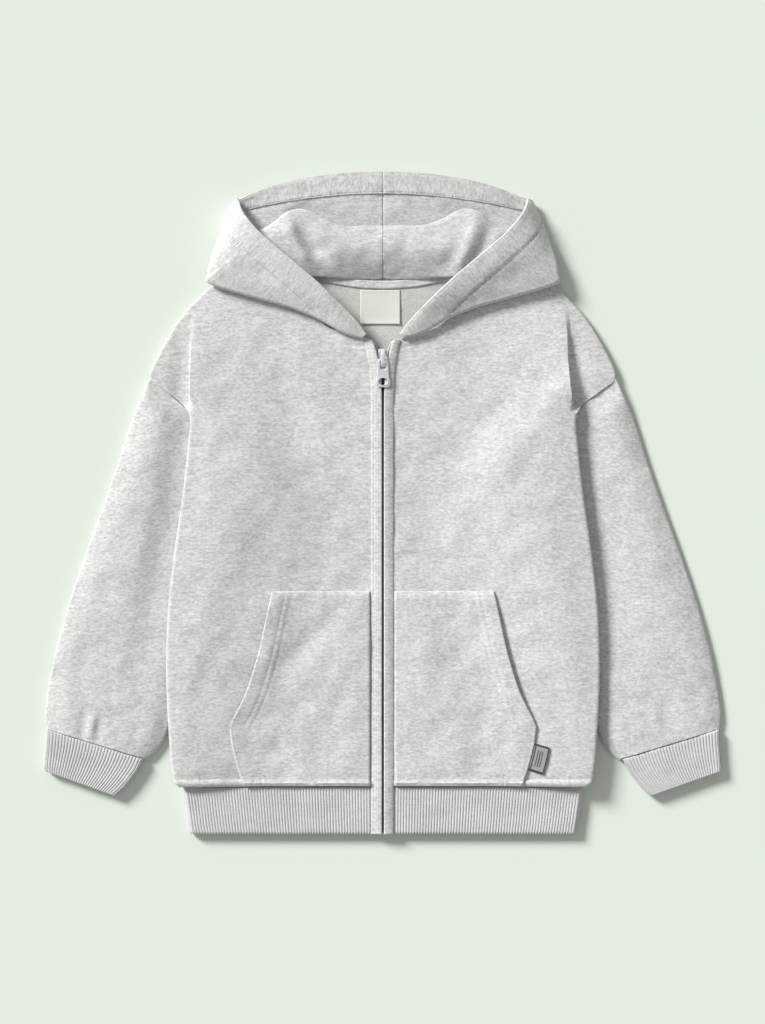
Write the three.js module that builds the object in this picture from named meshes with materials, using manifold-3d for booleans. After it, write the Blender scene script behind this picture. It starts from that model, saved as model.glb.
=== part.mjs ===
// Toddler hoodie with a zip: two-piece hood, two front pockets, ribbed cuffs and hem band.
// It lies face up on a flat surface, sleeves at its sides and tucked a little under the body.
// Millimetres. X runs to the viewer's right, Y towards the hood, Z up from the surface.
// The right half of each outline is written down, and the left half mirrors it.
import * as THREE from "three";
import Module from "manifold-3d";

const wasm = await Module();
wasm.setup();

// Driving sizes
const CLOTH = 2.2; // brushed fleece, one layer
const HALF = 4.0; // half the height of two layers lying on each other
const SEAM = 0.3; // gap left between pieces that are sewn together
const ROLL = 5.0; // width of the turn at a folded side
const HEM_LINE = -232; // where the fleece body meets the ribbed band
const HEM_END = -270.6; // lower edge of the garment
const HOOD_TOP = 270.6; // upper edge of the garment
const PLACKET_WIDTH = 9;
const PLACKET_THICK = 1.6;
const RIB_THICK = 2.4; // rib knit, folded double
const RIB_DEPTH = 0.7;
const RIB_PITCH = 2.66;
const TAPE_LOW = 4.2; // the zip tape's underside
const TAPE_THICK = 0.8;
const TAPE_WIDTH = 10;
const CHAIN_HALF = 0.9; // half the width of the zip's closed teeth
const LABEL_THICK = 0.6;
const TUCK = 2 * HALF + SEAM; // how high the body is lifted where a sleeve lies under it

const SHOULDER_TIP = { x: 190.8, y: 102 }; // top of the armhole seam
const UNDERARM = { x: 121, y: 43 }; // foot of the armhole seam, hidden under the body
const SLEEVE_FOOT = { x: 176.5, y: -190 }; // where the sleeve's inner fold comes out from under the body

const distance = (p, q) => Math.hypot(p[0] - q[0], p[1] - q[1], p[2] - q[2]);
const clamp01 = (t) => Math.min(1, Math.max(0, t));
const mix = (a, b, t) => a + (b - a) * t;
const ease = (t) => clamp01(t) ** 2 * (3 - 2 * clamp01(t));
const steps = (count, from = 0, to = 1) =>
  Array.from({ length: count + 1 }, (_, i) => mix(from, to, i / count));

// A smooth value of one column of a table, at a value of its key column.
function read(table, key, at, column) {
  const last = table.length - 1;
  const rising = table[last][key] > table[0][key];
  let i = 0;
  while (i < last - 1 && (rising ? at > table[i + 1][key] : at < table[i + 1][key])) i++;
  const [a, b] = [table[i], table[i + 1]];
  const before = table[Math.max(0, i - 1)];
  const after = table[Math.min(last, i + 2)];
  const span = b[key] - a[key];
  const t = clamp01((at - a[key]) / span);
  const slopeA = ((b[column] - before[column]) / (b[key] - before[key])) * span;
  const slopeB = ((after[column] - a[column]) / (after[key] - a[key])) * span;
  const [t2, t3] = [t * t, t * t * t];
  return (
    (2 * t3 - 3 * t2 + 1) * a[column] +
    (t3 - 2 * t2 + t) * slopeA +
    (3 * t2 - 2 * t3) * b[column] +
    (t3 - t2) * slopeB
  );
}

// The same, for a table whose rows are numbered by their place, with v from 0 to 1.
function readRow(table, v, column) {
  const numbered = table.map((row, i) => ({ ...row, place: i / (table.length - 1) }));
  return read(numbered, "place", v, column);
}

// Closed walls from grids of points

// Faces that close the border between an outer and an inner line of points, whatever their counts.
function border(outer, inner, faces) {
  const shares = (line) => {
    const sums = [0];
    for (let k = 1; k < line.length; k++)
      sums.push(sums[k - 1] + Math.hypot(...line[k].map((c, n) => c - line[k - 1][n])));
    return sums.map((s) => s / sums.at(-1));
  };
  const [a, b] = [shares(outer), shares(inner)];
  let [i, j] = [0, 0];
  while (i < a.length - 1 || j < b.length - 1) {
    const outerNext = i < a.length - 1 && (j === b.length - 1 || a[i + 1] <= b[j + 1] + 1e-6);
    if (outerNext) faces.push([outer[i + 1], outer[i], inner[j]]);
    else faces.push([outer[i], inner[j], inner[j + 1]]);
    if (outerNext) i++;
    else j++;
  }
}

function gridFaces(grid, faces, turned) {
  for (let i = 0; i < grid.length - 1; i++)
    for (let j = 0; j < grid[i].length - 1; j++) {
      const [a, b] = [grid[i][j], grid[i][j + 1]];
      const [d, c] = [grid[i + 1][j], grid[i + 1][j + 1]];
      const alongAC = distance(a, c) <= distance(b, d) + 1e-6; // the shorter diagonal, so halves mirror
      const pair = alongAC ? [[a, b, c], [a, c, d]] : [[a, b, d], [b, c, d]];
      faces.push(...pair.map(([p, q, r]) => (turned ? [p, r, q] : [p, q, r])));
    }
}

// A wall between an outer and an inner grid. A ring's columns run round and end where they began.
function wall(outer, inner, ring = false) {
  const faces = [];
  gridFaces(outer, faces, false);
  gridFaces(inner, faces, true);
  border(outer[0], inner[0], faces);
  border([...outer.at(-1)].reverse(), [...inner.at(-1)].reverse(), faces);
  if (!ring) {
    const column = (grid, pick) => grid.map((row) => row.at(pick));
    border(column(outer, 0).reverse(), column(inner, 0).reverse(), faces);
    border(column(outer, -1), column(inner, -1), faces);
  }
  let volume = 0;
  for (const [a, b, c] of faces)
    volume +=
      a[0] * (b[1] * c[2] - b[2] * c[1]) +
      a[1] * (b[2] * c[0] - b[0] * c[2]) +
      a[2] * (b[0] * c[1] - b[1] * c[0]);
  const points = faces.flatMap(([a, b, c]) => (volume > 0 ? [a, b, c] : [a, c, b]));
  const geometry = new THREE.BufferGeometry();
  geometry.setAttribute("position", new THREE.Float32BufferAttribute(points.flat(), 3));
  return geometry;
}

// Each column of each row of a grid is a place on the piece, and make turns it into a point.
const grid = (rows, columns, make) => rows.map((v) => columns.map((u) => make(v, u)));
const mirror = (points, side) => points.map((row) => row.map(([x, y, z]) => [side * x, y, z]));

// The outlines, right half

// Each row runs from the centre edge or the neckline (cx, cy) to the side (ox, oy).
// turn says how far the cloth rolls over the side, and half is half the height of the two layers.
const FRONT_ROWS = [
  { name: "hem", cx: 1.2, cy: HEM_LINE + 0.2, ox: 169.5, oy: HEM_LINE + 0.2, turn: 1, half: HALF },
  { name: "low pocket", cx: 1.2, cy: -185, ox: 174.8, oy: -185, turn: 1, half: HALF },
  { name: "pocket", cx: 1.2, cy: -137, ox: 176.7, oy: -137, turn: 1, half: HALF },
  { name: "waist", cx: 1.2, cy: -88, ox: 175.2, oy: -88, turn: 1, half: HALF },
  { name: "belly", cx: 1.2, cy: -40, ox: 170, oy: -40, turn: 1, half: HALF },
  { name: "chest", cx: 1.2, cy: 8, ox: 163.2, oy: 8, turn: 1, half: HALF },
  { name: "high chest", cx: 1.2, cy: 48, ox: 158.8, oy: 48, turn: 1, half: HALF },
  { name: "below armhole", cx: 1.2, cy: 68, ox: 157.4, oy: 69, turn: 1, half: HALF },
  { name: "armhole foot", cx: 1.2, cy: 77, ox: 163.6, oy: 79.9, turn: 0.25, half: HALF },
  { name: "armhole", cx: 1.2, cy: 86, ox: 179, oy: 92.4, turn: 0.25, half: HALF },
  { name: "armhole top", cx: 1.6, cy: 96, ox: 190.6, oy: 102.2, turn: 0.6, half: HALF },
  { name: "shoulder", cx: 4.6, cy: 111, ox: 184, oy: 121, turn: 1, half: HALF },
  { name: "mid shoulder", cx: 6.6, cy: 125, ox: 168.5, oy: 147.5, turn: 1, half: HALF },
  { name: "zip top", cx: 9.4, cy: 133.6, ox: 152, oy: 167, turn: 1, half: HALF },
  { name: "collar", cx: 34, cy: 137.6, ox: 136, oy: 180.5, turn: 1, half: HALF },
  { name: "high collar", cx: 52, cy: 149.6, ox: 118, oy: 187, turn: 1, half: 3.7 },
  { name: "neck side", cx: 63, cy: 164, ox: 101, oy: 191, turn: 1, half: 3.3 },
  { name: "high neck", cx: 69, cy: 181, ox: 87, oy: 194.3, turn: 1, half: 3.0 },
  { name: "neck point", cx: 70.5, cy: 190, ox: 79, oy: 196.2, turn: 0.7, half: 2.8 },
];

// The crease where the body folds over the shoulder, and how high the fold stands.
const CREASE = [
  { y: -10, x: 163, fold: 0 },
  { y: 40, x: 159, fold: 7 },
  { y: 73, x: 156.6, fold: 7 },
  { y: 92, x: 155.4, fold: 6.6 },
  { y: 112, x: 154.2, fold: 4.2 },
  { y: 130, x: 153, fold: 1.6 },
  { y: 146, x: 152, fold: 0 },
  { y: 170, x: 151, fold: 0 },
];

const NECK_CENTRE = 183.4; // the back neckline at its lowest
const NECK_POINT = { x: 72, y: 196.5 };
const backNeckline = (x) => NECK_CENTRE + (NECK_POINT.y - NECK_CENTRE) * (x / NECK_POINT.x) ** 2;

// Soft folds: a trough (height below 0) or a ridge along a line, fading over its width.
const BODY_FOLDS = [
  { x0: -92, y0: 6, x1: -150, y1: -172, width: 13, height: -1.3 },
  { x0: -74, y0: -30, x1: -118, y1: -120, width: 11, height: 0.8 },
  { x0: -20, y0: -66, x1: -98, y1: -160, width: 15, height: -0.8 },
  { x0: 56, y0: -108, x1: 82, y1: -200, width: 15, height: -0.9 },
  { x0: 66, y0: 62, x1: 36, y1: -36, width: 16, height: -0.8 },
  { x0: 120, y0: 60, x1: 138, y1: -90, width: 16, height: 0.7 },
];
const SLEEVE_FOLDS = [
  { x0: -190, y0: -50, x1: -200, y1: -166, width: 9, height: -0.9 },
  { x0: -240, y0: -100, x1: -254, y1: -158, width: 9, height: -0.8 },
  { x0: -228, y0: -176, x1: -232, y1: -192, width: 5, height: 0.8 },
  { x0: 232, y0: -150, x1: 236, y1: -188, width: 6, height: -0.9 },
  { x0: 214, y0: -30, x1: 236, y1: -130, width: 13, height: 0.8 },
];

function folds(table, x, y) {
  let sum = 0;
  for (const f of table) {
    const [dx, dy] = [f.x1 - f.x0, f.y1 - f.y0];
    const t = ((x - f.x0) * dx + (y - f.y0) * dy) / (dx * dx + dy * dy);
    const near = clamp01(t);
    const off = Math.hypot(x - f.x0 - near * dx, y - f.y0 - near * dy);
    sum += f.height * Math.exp(-((off / f.width) ** 2));
  }
  return sum;
}

// How far the body is lifted over the sleeve under it. x is measured from the centre line, without sign.
function lift(x, y) {
  const inner = { x: SLEEVE_FOOT.x - UNDERARM.x, y: SLEEVE_FOOT.y - UNDERARM.y };
  const armhole = { x: SHOULDER_TIP.x - UNDERARM.x, y: SHOULDER_TIP.y - UNDERARM.y };
  const [px, py] = [x - UNDERARM.x, y - UNDERARM.y];
  const pastInner = (py * inner.x - px * inner.y) / Math.hypot(inner.x, inner.y);
  const pastArmhole = (px * armhole.y - py * armhole.x) / Math.hypot(armhole.x, armhole.y);
  const [margin, sideRamp, topRamp] = [5, 24, 13];
  const overSleeve =
    ease((pastInner + margin + sideRamp) / sideRamp) *
    ease((pastArmhole + margin + topRamp) / topRamp);
  const atShoulder = ease((y - 77) / 3);
  return TUCK * overSleeve * (1 - atShoulder * outsideCrease(x, y));
}

function outsideCrease(x, y) {
  const cliff = 4;
  return ease((x - read(CREASE, "y", y, "x") + 0.5) / cliff);
}

// Height of the front's outer face over the surface.
function frontTop(side, x, y, half = HALF) {
  const lifted = lift(x, y);
  const approach = 38;
  const rise = ease((x - read(CREASE, "y", y, "x") + approach) / approach);
  const pleat = read(CREASE, "y", y, "fold") * rise * (1 - outsideCrease(x, y));
  const fade = ease((160 - y) / 30); // no soft folds under the hood
  const settled = ease((y - HEM_LINE) / 12); // nor at the hem seam
  const inward = ease((read(FRONT_ROWS, "oy", y, "ox") - 6 - x) / 20);
  const soft = folds(BODY_FOLDS, side * x, y) * fade * settled * inward;
  return lifted + pleat * (1 - lifted / TUCK) + 2 * half + soft;
}

// A sloping layer keeps its thickness better if its upright thickness grows with the slope.
function upright(thick, height, x, y) {
  const d = 0.5;
  const slope = Math.hypot(height(x + d, y) - height(x - d, y), height(x, y + d) - height(x, y - d));
  return thick * Math.min(1.45, Math.hypot(1, slope));
}

// The body

// Places of the rows in the table of rows: closer where the sleeve's foot and the armhole are.
const BODY_PLACES = [
  ...[0, 0.35, 0.7, 1, 1.35, 2, 2.6, 3.3, 4, 4.7, 5.3, 5.8, 6.2, 6.6, 7, 7.35, 7.7, 8],
  ...[9, 10, 10.5, 11, 11.5, 12, 12.5, 13, 14, 15, 16, 17, 18],
];
const bodyRows = BODY_PLACES.map((place) => place / (FRONT_ROWS.length - 1));

// Columns across a half body: few over the plain middle, more at the crease and round the side.
const FRONT_COLUMNS = [0, 0.16, 0.34, 0.5, 0.63, 0.74, 0.83, 0.91, 1];
const FRONT_INSIDE_COLUMNS = [0, 0.34, 0.63, 0.74, 0.83, 0.91, 1];
const TURN_STEPS = [0.3, 0.65, 1];
const TURN_INSIDE_STEPS = [0.5, 1];
const turnAt = (v) => Math.min(1, Math.max(0.2, readRow(FRONT_ROWS, v, "turn")));
const rowPoint = (v, u) => {
  const at = (column) => readRow(FRONT_ROWS, v, column);
  return { x: mix(at("cx"), at("ox"), u), y: mix(at("cy"), at("oy"), u) };
};

// Columns of a row as shares of its length, with three of them set on the crease.
function frontShares(v, inside) {
  const at = (column) => readRow(FRONT_ROWS, v, column);
  const end = at("ox") - ROLL * turnAt(v);
  const reach = Math.min(read(CREASE, "y", at("oy"), "x") - 1, at("cx") + 0.9 * (end - at("cx")));
  const plain = inside ? FRONT_INSIDE_COLUMNS : FRONT_COLUMNS;
  const inner = plain.map((u) => mix(at("cx"), reach, u));
  const outer = (inside ? [0.42, 1] : [0.18, 0.42, 1]).map((u) => mix(reach, end, u));
  const width = at("ox") - at("cx");
  return [...inner, ...outer].map((x) => (x - at("cx")) / width);
}

// The turn over a side: an angle from the top of the layers down to the seam at half height.
function sideTurn(centre, outward, middle, half, share, turn, thick, up) {
  const angle = (Math.PI / 2) * (1 - 0.965 * share * turn);
  const reach = (ROLL * turn - (thick ? CLOTH * turn : 0)) * Math.cos(angle);
  const rise = (half - (thick ? CLOTH : 0)) * Math.sin(angle);
  return [centre.x + outward.x * reach, centre.y + outward.y * reach, middle + up * rise];
}

function frontPanel(side) {
  const surface = (inside) =>
    bodyRows.map((v) => {
      const at = (column) => readRow(FRONT_ROWS, v, column);
      const height = (x, y) => frontTop(side, x, y, at("half"));
      const flat = frontShares(v, inside).map((u) => {
        const { x, y } = rowPoint(v, u);
        return [x, y, height(x, y) - (inside ? upright(CLOTH, height, x, y) : 0)];
      });
      const edge = flat.at(-1);
      const long = Math.hypot(at("ox") - at("cx"), at("oy") - at("cy"));
      const outward = { x: (at("ox") - at("cx")) / long, y: (at("oy") - at("cy")) / long };
      const middle = height(edge[0], edge[1]) - at("half");
      const turned = (inside ? TURN_INSIDE_STEPS : TURN_STEPS).map((share) =>
        sideTurn({ x: edge[0], y: edge[1] }, outward, middle, at("half"), share, turnAt(v), inside, 1),
      );
      return [...flat, ...turned];
    });
  return wall(mirror(surface(false), side), mirror(surface(true), side));
}

// The back's rows run straight across below the armholes, and above them dip to the neckline.
const BACK_ROWS = FRONT_ROWS.map((row, i) => {
  const above = clamp01((i - 7) / (FRONT_ROWS.length - 8));
  return { ...row, cy: mix(row.oy, mix(69, NECK_CENTRE, above), i > 7 ? 1 : 0) };
});
const BACK_COLUMNS = [0, 0.3, 0.52, 0.65, 0.76, 0.86, 0.94, 1];

function backPanel() {
  const surface = (inside) =>
    bodyRows.map((v) => {
      const at = (column) => readRow(BACK_ROWS, v, column);
      const end = at("ox") - ROLL * turnAt(v);
      const flat = BACK_COLUMNS.map((u) => {
        const x = end * u;
        const y = mix(at("cy"), at("oy"), (x / at("ox")) ** 2);
        return [x, y, lift(x, y) + (inside ? upright(CLOTH, lift, x, y) : 0)];
      });
      const edge = flat.at(-1);
      const outward = { x: 1, y: 0 };
      const middle = lift(edge[0], edge[1]) + at("half");
      const turned = TURN_INSIDE_STEPS.map((share) =>
        sideTurn({ x: edge[0], y: edge[1] }, outward, middle, at("half"), share, turnAt(v), inside, -1),
      );
      const half = [...flat, ...turned];
      const left = half.slice(1).map(([x, y, z]) => [-x, y, z]);
      return [...left.reverse(), ...half];
    });
  return wall(surface(false), surface(true));
}

// The sleeves and cuffs: flattened tubes, each section running from its outer fold to its inner fold.
const SLEEVE_SECTIONS = [
  { ox: 190.9, oy: 101.8, ix: 121.1, iy: 42.8 },
  { ox: 205, oy: 70, ix: 125.6, iy: 21 },
  { ox: 216, oy: 36, ix: 131.5, iy: -8.5 },
  { ox: 228.5, oy: 0, ix: 140, iy: -42.8 },
  { ox: 241.7, oy: -36, ix: 148.8, iy: -78.3 },
  { ox: 255.8, oy: -77, ix: 157.7, iy: -114.2 },
  { ox: 267, oy: -116.4, ix: 167, iy: -151.7 },
  { ox: 274, oy: -150, ix: 176.5, iy: -188 },
  { ox: 277, oy: -173, ix: 184.5, iy: -202.5 },
  { ox: 275.8, oy: -184.4, ix: 192.5, iy: -209.8 },
];
const CUFF_SECTIONS = [
  { ox: 275.2, oy: -185.3, ix: 196, iy: -209.7 },
  { ox: 276.6, oy: -196, ix: 200.5, iy: -219 },
  { ox: 277, oy: -209, ix: 209, iy: -230.5 },
  { ox: 276, oy: -216.6, ix: 216.5, iy: -237.6 },
  { ox: 273.6, oy: -219.5, ix: 219.5, iy: -239.2 },
];

// A point of a flattened tube: side runs from 0 at the outer fold to 1 at the inner one on the upper layer,
// and back to 2 on the lower layer.
function tubePoint(sections, v, around, thick, half, turn, raise) {
  const at = (column) => readRow(sections, v, column);
  const width = Math.hypot(at("ix") - at("ox"), at("iy") - at("oy"));
  const upper = around <= 1;
  const share = upper ? around : 2 - around;
  const straight = width - 2 * turn;
  const quarter = 0.12; // share of the section given to each turn
  let [along, rise] = [0, 0];
  if (share < quarter || share > 1 - quarter) {
    const angle = (Math.PI / 2) * (Math.min(share, 1 - share) / quarter);
    const reach = (turn - thick) * (1 - Math.cos(Math.PI / 2 - angle));
    along = share < 0.5 ? turn - (turn - thick) * Math.cos(angle) : width - turn + (turn - thick) * Math.cos(angle);
    rise = (half - thick) * Math.sin(angle);
    if (reach < 0) along = 0;
  } else {
    along = turn + (straight * (share - quarter)) / (1 - 2 * quarter);
    rise = half - thick;
  }
  const x = mix(at("ox"), at("ix"), along / width);
  const y = mix(at("oy"), at("iy"), along / width);
  const z = half + (upper ? rise + raise(x, y, rise / half) : -rise);
  return [x, y, z];
}

const TUBE_AROUND = [0, 0.04, 0.08, 0.12, 0.26, 0.4, 0.5, 0.6, 0.74, 0.88, 0.92, 0.96, 1];
const BELOW_AROUND = [1.04, 1.12, 1.5, 1.88, 1.96, 2];

function sleeve(side) {
  const around = [...TUBE_AROUND, ...BELOW_AROUND];
  const raise = (x, y, share) =>
    folds(SLEEVE_FOLDS, side * x, y) * share * ease((SHOULDER_TIP.y - y) / 60) * (x > 178 ? 1 : 0);
  const make = (thick, columns) =>
    grid(steps(11), columns, (v, a) => tubePoint(SLEEVE_SECTIONS, v, a, thick, HALF, ROLL, raise));
  const inside = [0, 0.06, 0.12, 0.35, 0.65, 0.88, 0.94, 1, 1.06, 1.12, 1.88, 1.94, 2];
  return wall(mirror(make(0, around), side), mirror(make(CLOTH, inside), side), true);
}

const CUFF_RIBS = 28;
function cuff(side) {
  const [half, turn, thick] = [3.7, 4.2, RIB_THICK];
  const ribbed = steps(2 * CUFF_RIBS, 0, 1);
  const outerAround = [...ribbed, ...BELOW_AROUND];
  const innerAround = [0, 0.06, 0.12, 0.5, 0.88, 0.94, 1, 1.06, 1.12, 1.88, 1.94, 2];
  const rows = [0, 0.34, 0.7, 1];
  const outer = grid(rows, outerAround, (v, a) => {
    const rib = a < 1 && Math.round(a * 2 * CUFF_RIBS) % 2 === 1 ? RIB_DEPTH : 0;
    return tubePoint(CUFF_SECTIONS, v, a, 0, half, turn, () => rib);
  });
  const inner = grid([0, 1], innerAround, (v, a) =>
    tubePoint(CUFF_SECTIONS, v, a, thick, half, turn, () => 0),
  );
  return wall(mirror(outer, side), mirror(inner, side), true);
}

// The ribbed hem band: two fronts and one back
const BAND_ROWS = [
  { y: HEM_LINE - 0.3, half: 164, drop: 0.5 },
  { y: -266, half: 159.2, drop: 0 },
  { y: HEM_END, half: 158.2, drop: 1.3 },
];
const BAND_HEIGHT = 7.6;
const BAND_MIDDLE = BAND_HEIGHT / 2;
const BAND_START = 1.2;
const RIB_START = 1.2 + PLACKET_WIDTH + SEAM;

function bandPoint(row, along, thick, up, rib) {
  const turn = 4;
  const width = row.half - BAND_START;
  const straight = width - turn;
  const half = BAND_MIDDLE - (thick ? RIB_THICK : row.drop);
  if (along <= straight) return [BAND_START + along, row.y, BAND_MIDDLE + up * (half + rib)];
  const angle = (Math.PI / 2) * (1 - ((along - straight) / turn) * 0.95);
  const reach = (turn - (thick ? RIB_THICK : 0)) * Math.cos(angle);
  const x = BAND_START + straight + reach + rib * Math.cos(angle) * 0.3;
  return [x, row.y, BAND_MIDDLE + up * (half + rib) * Math.sin(angle)];
}

function hemBandFront(side) {
  const ribs = Math.round((BAND_ROWS[0].half - RIB_START) / RIB_PITCH);
  const outer = BAND_ROWS.map((row) => {
    const width = row.half - BAND_START;
    const plain = RIB_START - BAND_START;
    const ribbed = steps(2 * ribs).map((s, k) => {
      const rib = k % 2 ? RIB_DEPTH : 0;
      return bandPoint(row, mix(plain, width, s), false, 1, rib * ease((plain + s * width) / 4));
    });
    return [bandPoint(row, 0, false, 1, 0), ...ribbed];
  });
  const inner = [BAND_ROWS[0], BAND_ROWS.at(-1)].map((row) => {
    const width = row.half - BAND_START;
    const stops = [0, width - 4, width - 2.8, width - 1.4, width];
    return stops.map((along) => bandPoint(row, along, true, 1, 0));
  });
  return wall(mirror(outer, side), mirror(inner, side));
}

function hemBandBack() {
  const make = (thick) =>
    BAND_ROWS.map((row) => {
      const width = row.half - BAND_START;
      const flatRow = { ...row, drop: row.y === HEM_END ? 0.6 : 0 };
      const stops = [width / 2, width - 4, width - 2.8, width - 1.4, width];
      const half = stops.map((along) => bandPoint(flatRow, along, thick, -1, 0));
      const left = half.map(([x, y, z]) => [-x, y, z]).reverse();
      return [...left, ...half];
    });
  return wall(make(false), make(true));
}

// What lies on the front: plackets, pockets and the side tag, each made from the front's own heights
const PLACKET_EDGE = [
  { y: HEM_END, x: 1.2, width: PLACKET_WIDTH },
  { y: -100, x: 1.2, width: PLACKET_WIDTH },
  { y: 60, x: 1.2, width: PLACKET_WIDTH },
  { y: 84, x: 1.3, width: PLACKET_WIDTH },
  { y: 96, x: 1.6, width: PLACKET_WIDTH },
  { y: 105, x: 2.2, width: 8.8 },
  { y: 112, x: 3.2, width: 8.6 },
  { y: 120, x: 4.9, width: 8.2 },
  { y: 127, x: 6.8, width: 7.6 },
  { y: 133.4, x: 9.2, width: 7 },
];

// Height of the fleece front or, below the hem line, of the ribbed band.
const frontOrBand = (side, x, y) => Math.max(BAND_HEIGHT, y < HEM_LINE ? 0 : frontTop(side, x, y));

function placket(side) {
  const rows = [HEM_END, -252, -234, -230, -200, -160, -120, -80, -40, 0, 40, 70, 86, 98, 110, 122, 133.2];
  const make = (rise) =>
    grid(rows, steps(3), (y, u) => {
      const x = read(PLACKET_EDGE, "y", y, "x") + read(PLACKET_EDGE, "y", y, "width") * u;
      const rounded = rise > SEAM && (u === 0 || u === 1) ? 0.35 : 0;
      return [x, y, frontOrBand(side, x, Math.max(y, HEM_LINE)) + rise - rounded];
    });
  return wall(mirror(make(SEAM + PLACKET_THICK), side), mirror(make(SEAM), side));
}

// The pocket's outer edge: a curved mouth down to the corner, then the sewn side down to the hem.
const POCKET_EDGE = [
  { y: HEM_LINE + 1.2, x: 113.5, open: 0 },
  { y: -216, x: 118.4, open: 0 },
  { y: -198, x: 123, open: 0 },
  { y: -184, x: 126, open: 0 },
  { y: -179, x: 124, open: 0.3 },
  { y: -168, x: 117.8, open: 1 },
  { y: -152, x: 110.8, open: 1.4 },
  { y: -122, x: 101.6, open: 1.4 },
  { y: -92, x: 95, open: 0.8 },
  { y: -72, x: 90.6, open: 0 },
];
const POCKET_START = RIB_START + 0.1;

function pocket(side) {
  const rows = [HEM_LINE + 1.2, -222, -210, -198, -188, -182, -176, -166, -150, -130, -110, -90, -72];
  const make = (rise) =>
    grid(rows, [0, 0.17, 0.34, 0.5, 0.66, 0.82, 0.92, 1], (y, u) => {
      const edge = read(POCKET_EDGE, "y", y, "x");
      const x = mix(POCKET_START, edge, u);
      const mouth = read(POCKET_EDGE, "y", y, "open") * ease((u - 0.7) / 0.3);
      const slack = 0.55 * ease(u / 0.15) * ease((1 - u) / 0.1) * ease((y - HEM_LINE) / 14);
      return [x, y, frontTop(side, x, y) + rise + mouth + slack];
    });
  return wall(mirror(make(SEAM + CLOTH), side), mirror(make(SEAM), side));
}

function pocketTag(side) {
  const [low, high, reach, thick] = [-218, -196, 11.6, 0.8];
  const make = (rise) =>
    grid([low, (low + high) / 2, high], [0, 1], (y, u) => {
      const x = read(POCKET_EDGE, "y", y, "x") + SEAM + reach * u;
      return [x, y - 3.2 * u, frontTop(side, x, y) + SEAM + 0.15 + rise];
    });
  return wall(mirror(make(thick), side), mirror(make(0), side));
}

// The hood

// Each row is one section of the right half. It starts at the opening edge (ex, ey, ez), runs out over the
// upper layer to the outer fold (bx, by), turns there with radius r, and comes back on the lower layer, at
// heights zb by the fold, zm halfway and zf at its end (fx, fy), which is the neck seam or the centre seam.
// bend shapes the way back, and bow pushes its middle towards the top.
const HOOD_ROWS = [
  { ex: 13.6, ey: 138, ez: 12.2, bx: 17, by: 135, r: 1.35, zb: 9.4, zm: 9.4, zf: 9.4, fx: 13.8, fy: 134.5, bend: 1, bow: 0 },
  { ex: 22, ey: 149, ez: 13.4, bx: 32, by: 139.8, r: 1.8, zb: 9.4, zm: 9.4, zf: 9.4, fx: 28, fy: 137, bend: 1, bow: 0 },
  { ex: 37, ey: 164.5, ez: 14.8, bx: 52, by: 150.6, r: 2.2, zb: 9.4, zm: 9.4, zf: 9.4, fx: 47, fy: 146.6, bend: 1, bow: 0 },
  { ex: 55, ey: 181.5, ez: 16, bx: 77, by: 160.4, r: 2.3, zb: 9.4, zm: 9.4, zf: 9.4, fx: 60.5, fy: 158, bend: 1, bow: 0 },
  { ex: 77, ey: 200, ez: 17.2, bx: 108, by: 169, r: 2.3, zb: 9.4, zm: 9.4, zf: 9.4, fx: 68.5, fy: 176, bend: 1, bow: 0 },
  { ex: 93, ey: 213.5, ez: 17.8, bx: 140.4, by: 179, r: 2.3, zb: 9.4, zm: 9.5, zf: 9, fx: 71, fy: 190.5, bend: 1, bow: 0 },
  { ex: 99, ey: 219, ez: 17.6, bx: 142, by: 186, r: 2.3, zb: 9.3, zm: 9.6, zf: 7.4, fx: 52, fy: 191.4, bend: 1.3, bow: 0 },
  { ex: 103, ey: 223, ez: 17.2, bx: 141.6, by: 192, r: 2.3, zb: 8.8, zm: 9.7, zf: 4, fx: 24, fy: 186.2, bend: 1.6, bow: 0 },
  { ex: 106, ey: 226.5, ez: 16.8, bx: 140.6, by: 197, r: 2.3, zb: 8, zm: 9.9, zf: 2.4, fx: 0.35, fy: 184.6, bend: 2, bow: 0 },
  { ex: 109, ey: 230, ez: 16.2, bx: 139.2, by: 202, r: 2.3, zb: 7, zm: 11.4, zf: 7.4, fx: 0.35, fy: 206, bend: 2, bow: 8 },
  { ex: 112, ey: 234, ez: 15.2, bx: 137.4, by: 207.5, r: 2.3, zb: 5.8, zm: 14.2, zf: 12.4, fx: 0.35, fy: 224.5, bend: 2, bow: 15.4 },
  { ex: 114, ey: 237.5, ez: 13.8, bx: 135.6, by: 212.5, r: 2.3, zb: 4.4, zm: 10.6, zf: 9, fx: 0.35, fy: 229.2, bend: 2, bow: 15.4 },
  { ex: 115.4, ey: 240.4, ez: 12.4, bx: 133.6, by: 218, r: 2.3, zb: 3, zm: 4, zf: 3.4, fx: 0.35, fy: 234, bend: 2, bow: 14 },
  { ex: 116.4, ey: 243, ez: 11, bx: 131, by: 225.5, r: 2.2, zb: 2, zm: 1.5, zf: 1.5, fx: 0.35, fy: 241.5, bend: 2, bow: 7 },
  { ex: 117, ey: 245.2, ez: 9.6, bx: 127.6, by: 234, r: 2.1, zb: 2.2, zm: 1.6, zf: 1.8, fx: 0.35, fy: 250, bend: 2, bow: 0 },
  { ex: 117.4, ey: 247, ez: 9, bx: 124.2, by: 241, r: 1.9, zb: 3.2, zm: 3, zf: 4, fx: 0.35, fy: 260.5, bend: 2.2, bow: 0 },
  { ex: 117.8, ey: 248.6, ez: 9, bx: 121, by: 247, r: 1.7, zb: 4.8, zm: 6.6, zf: 7.6, fx: 0.35, fy: HOOD_TOP - 0.3, bend: 2.4, bow: 0 },
];
const BOW_CENTRE = 0.52;
const BOW_WIDTH = 0.17;

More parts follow.
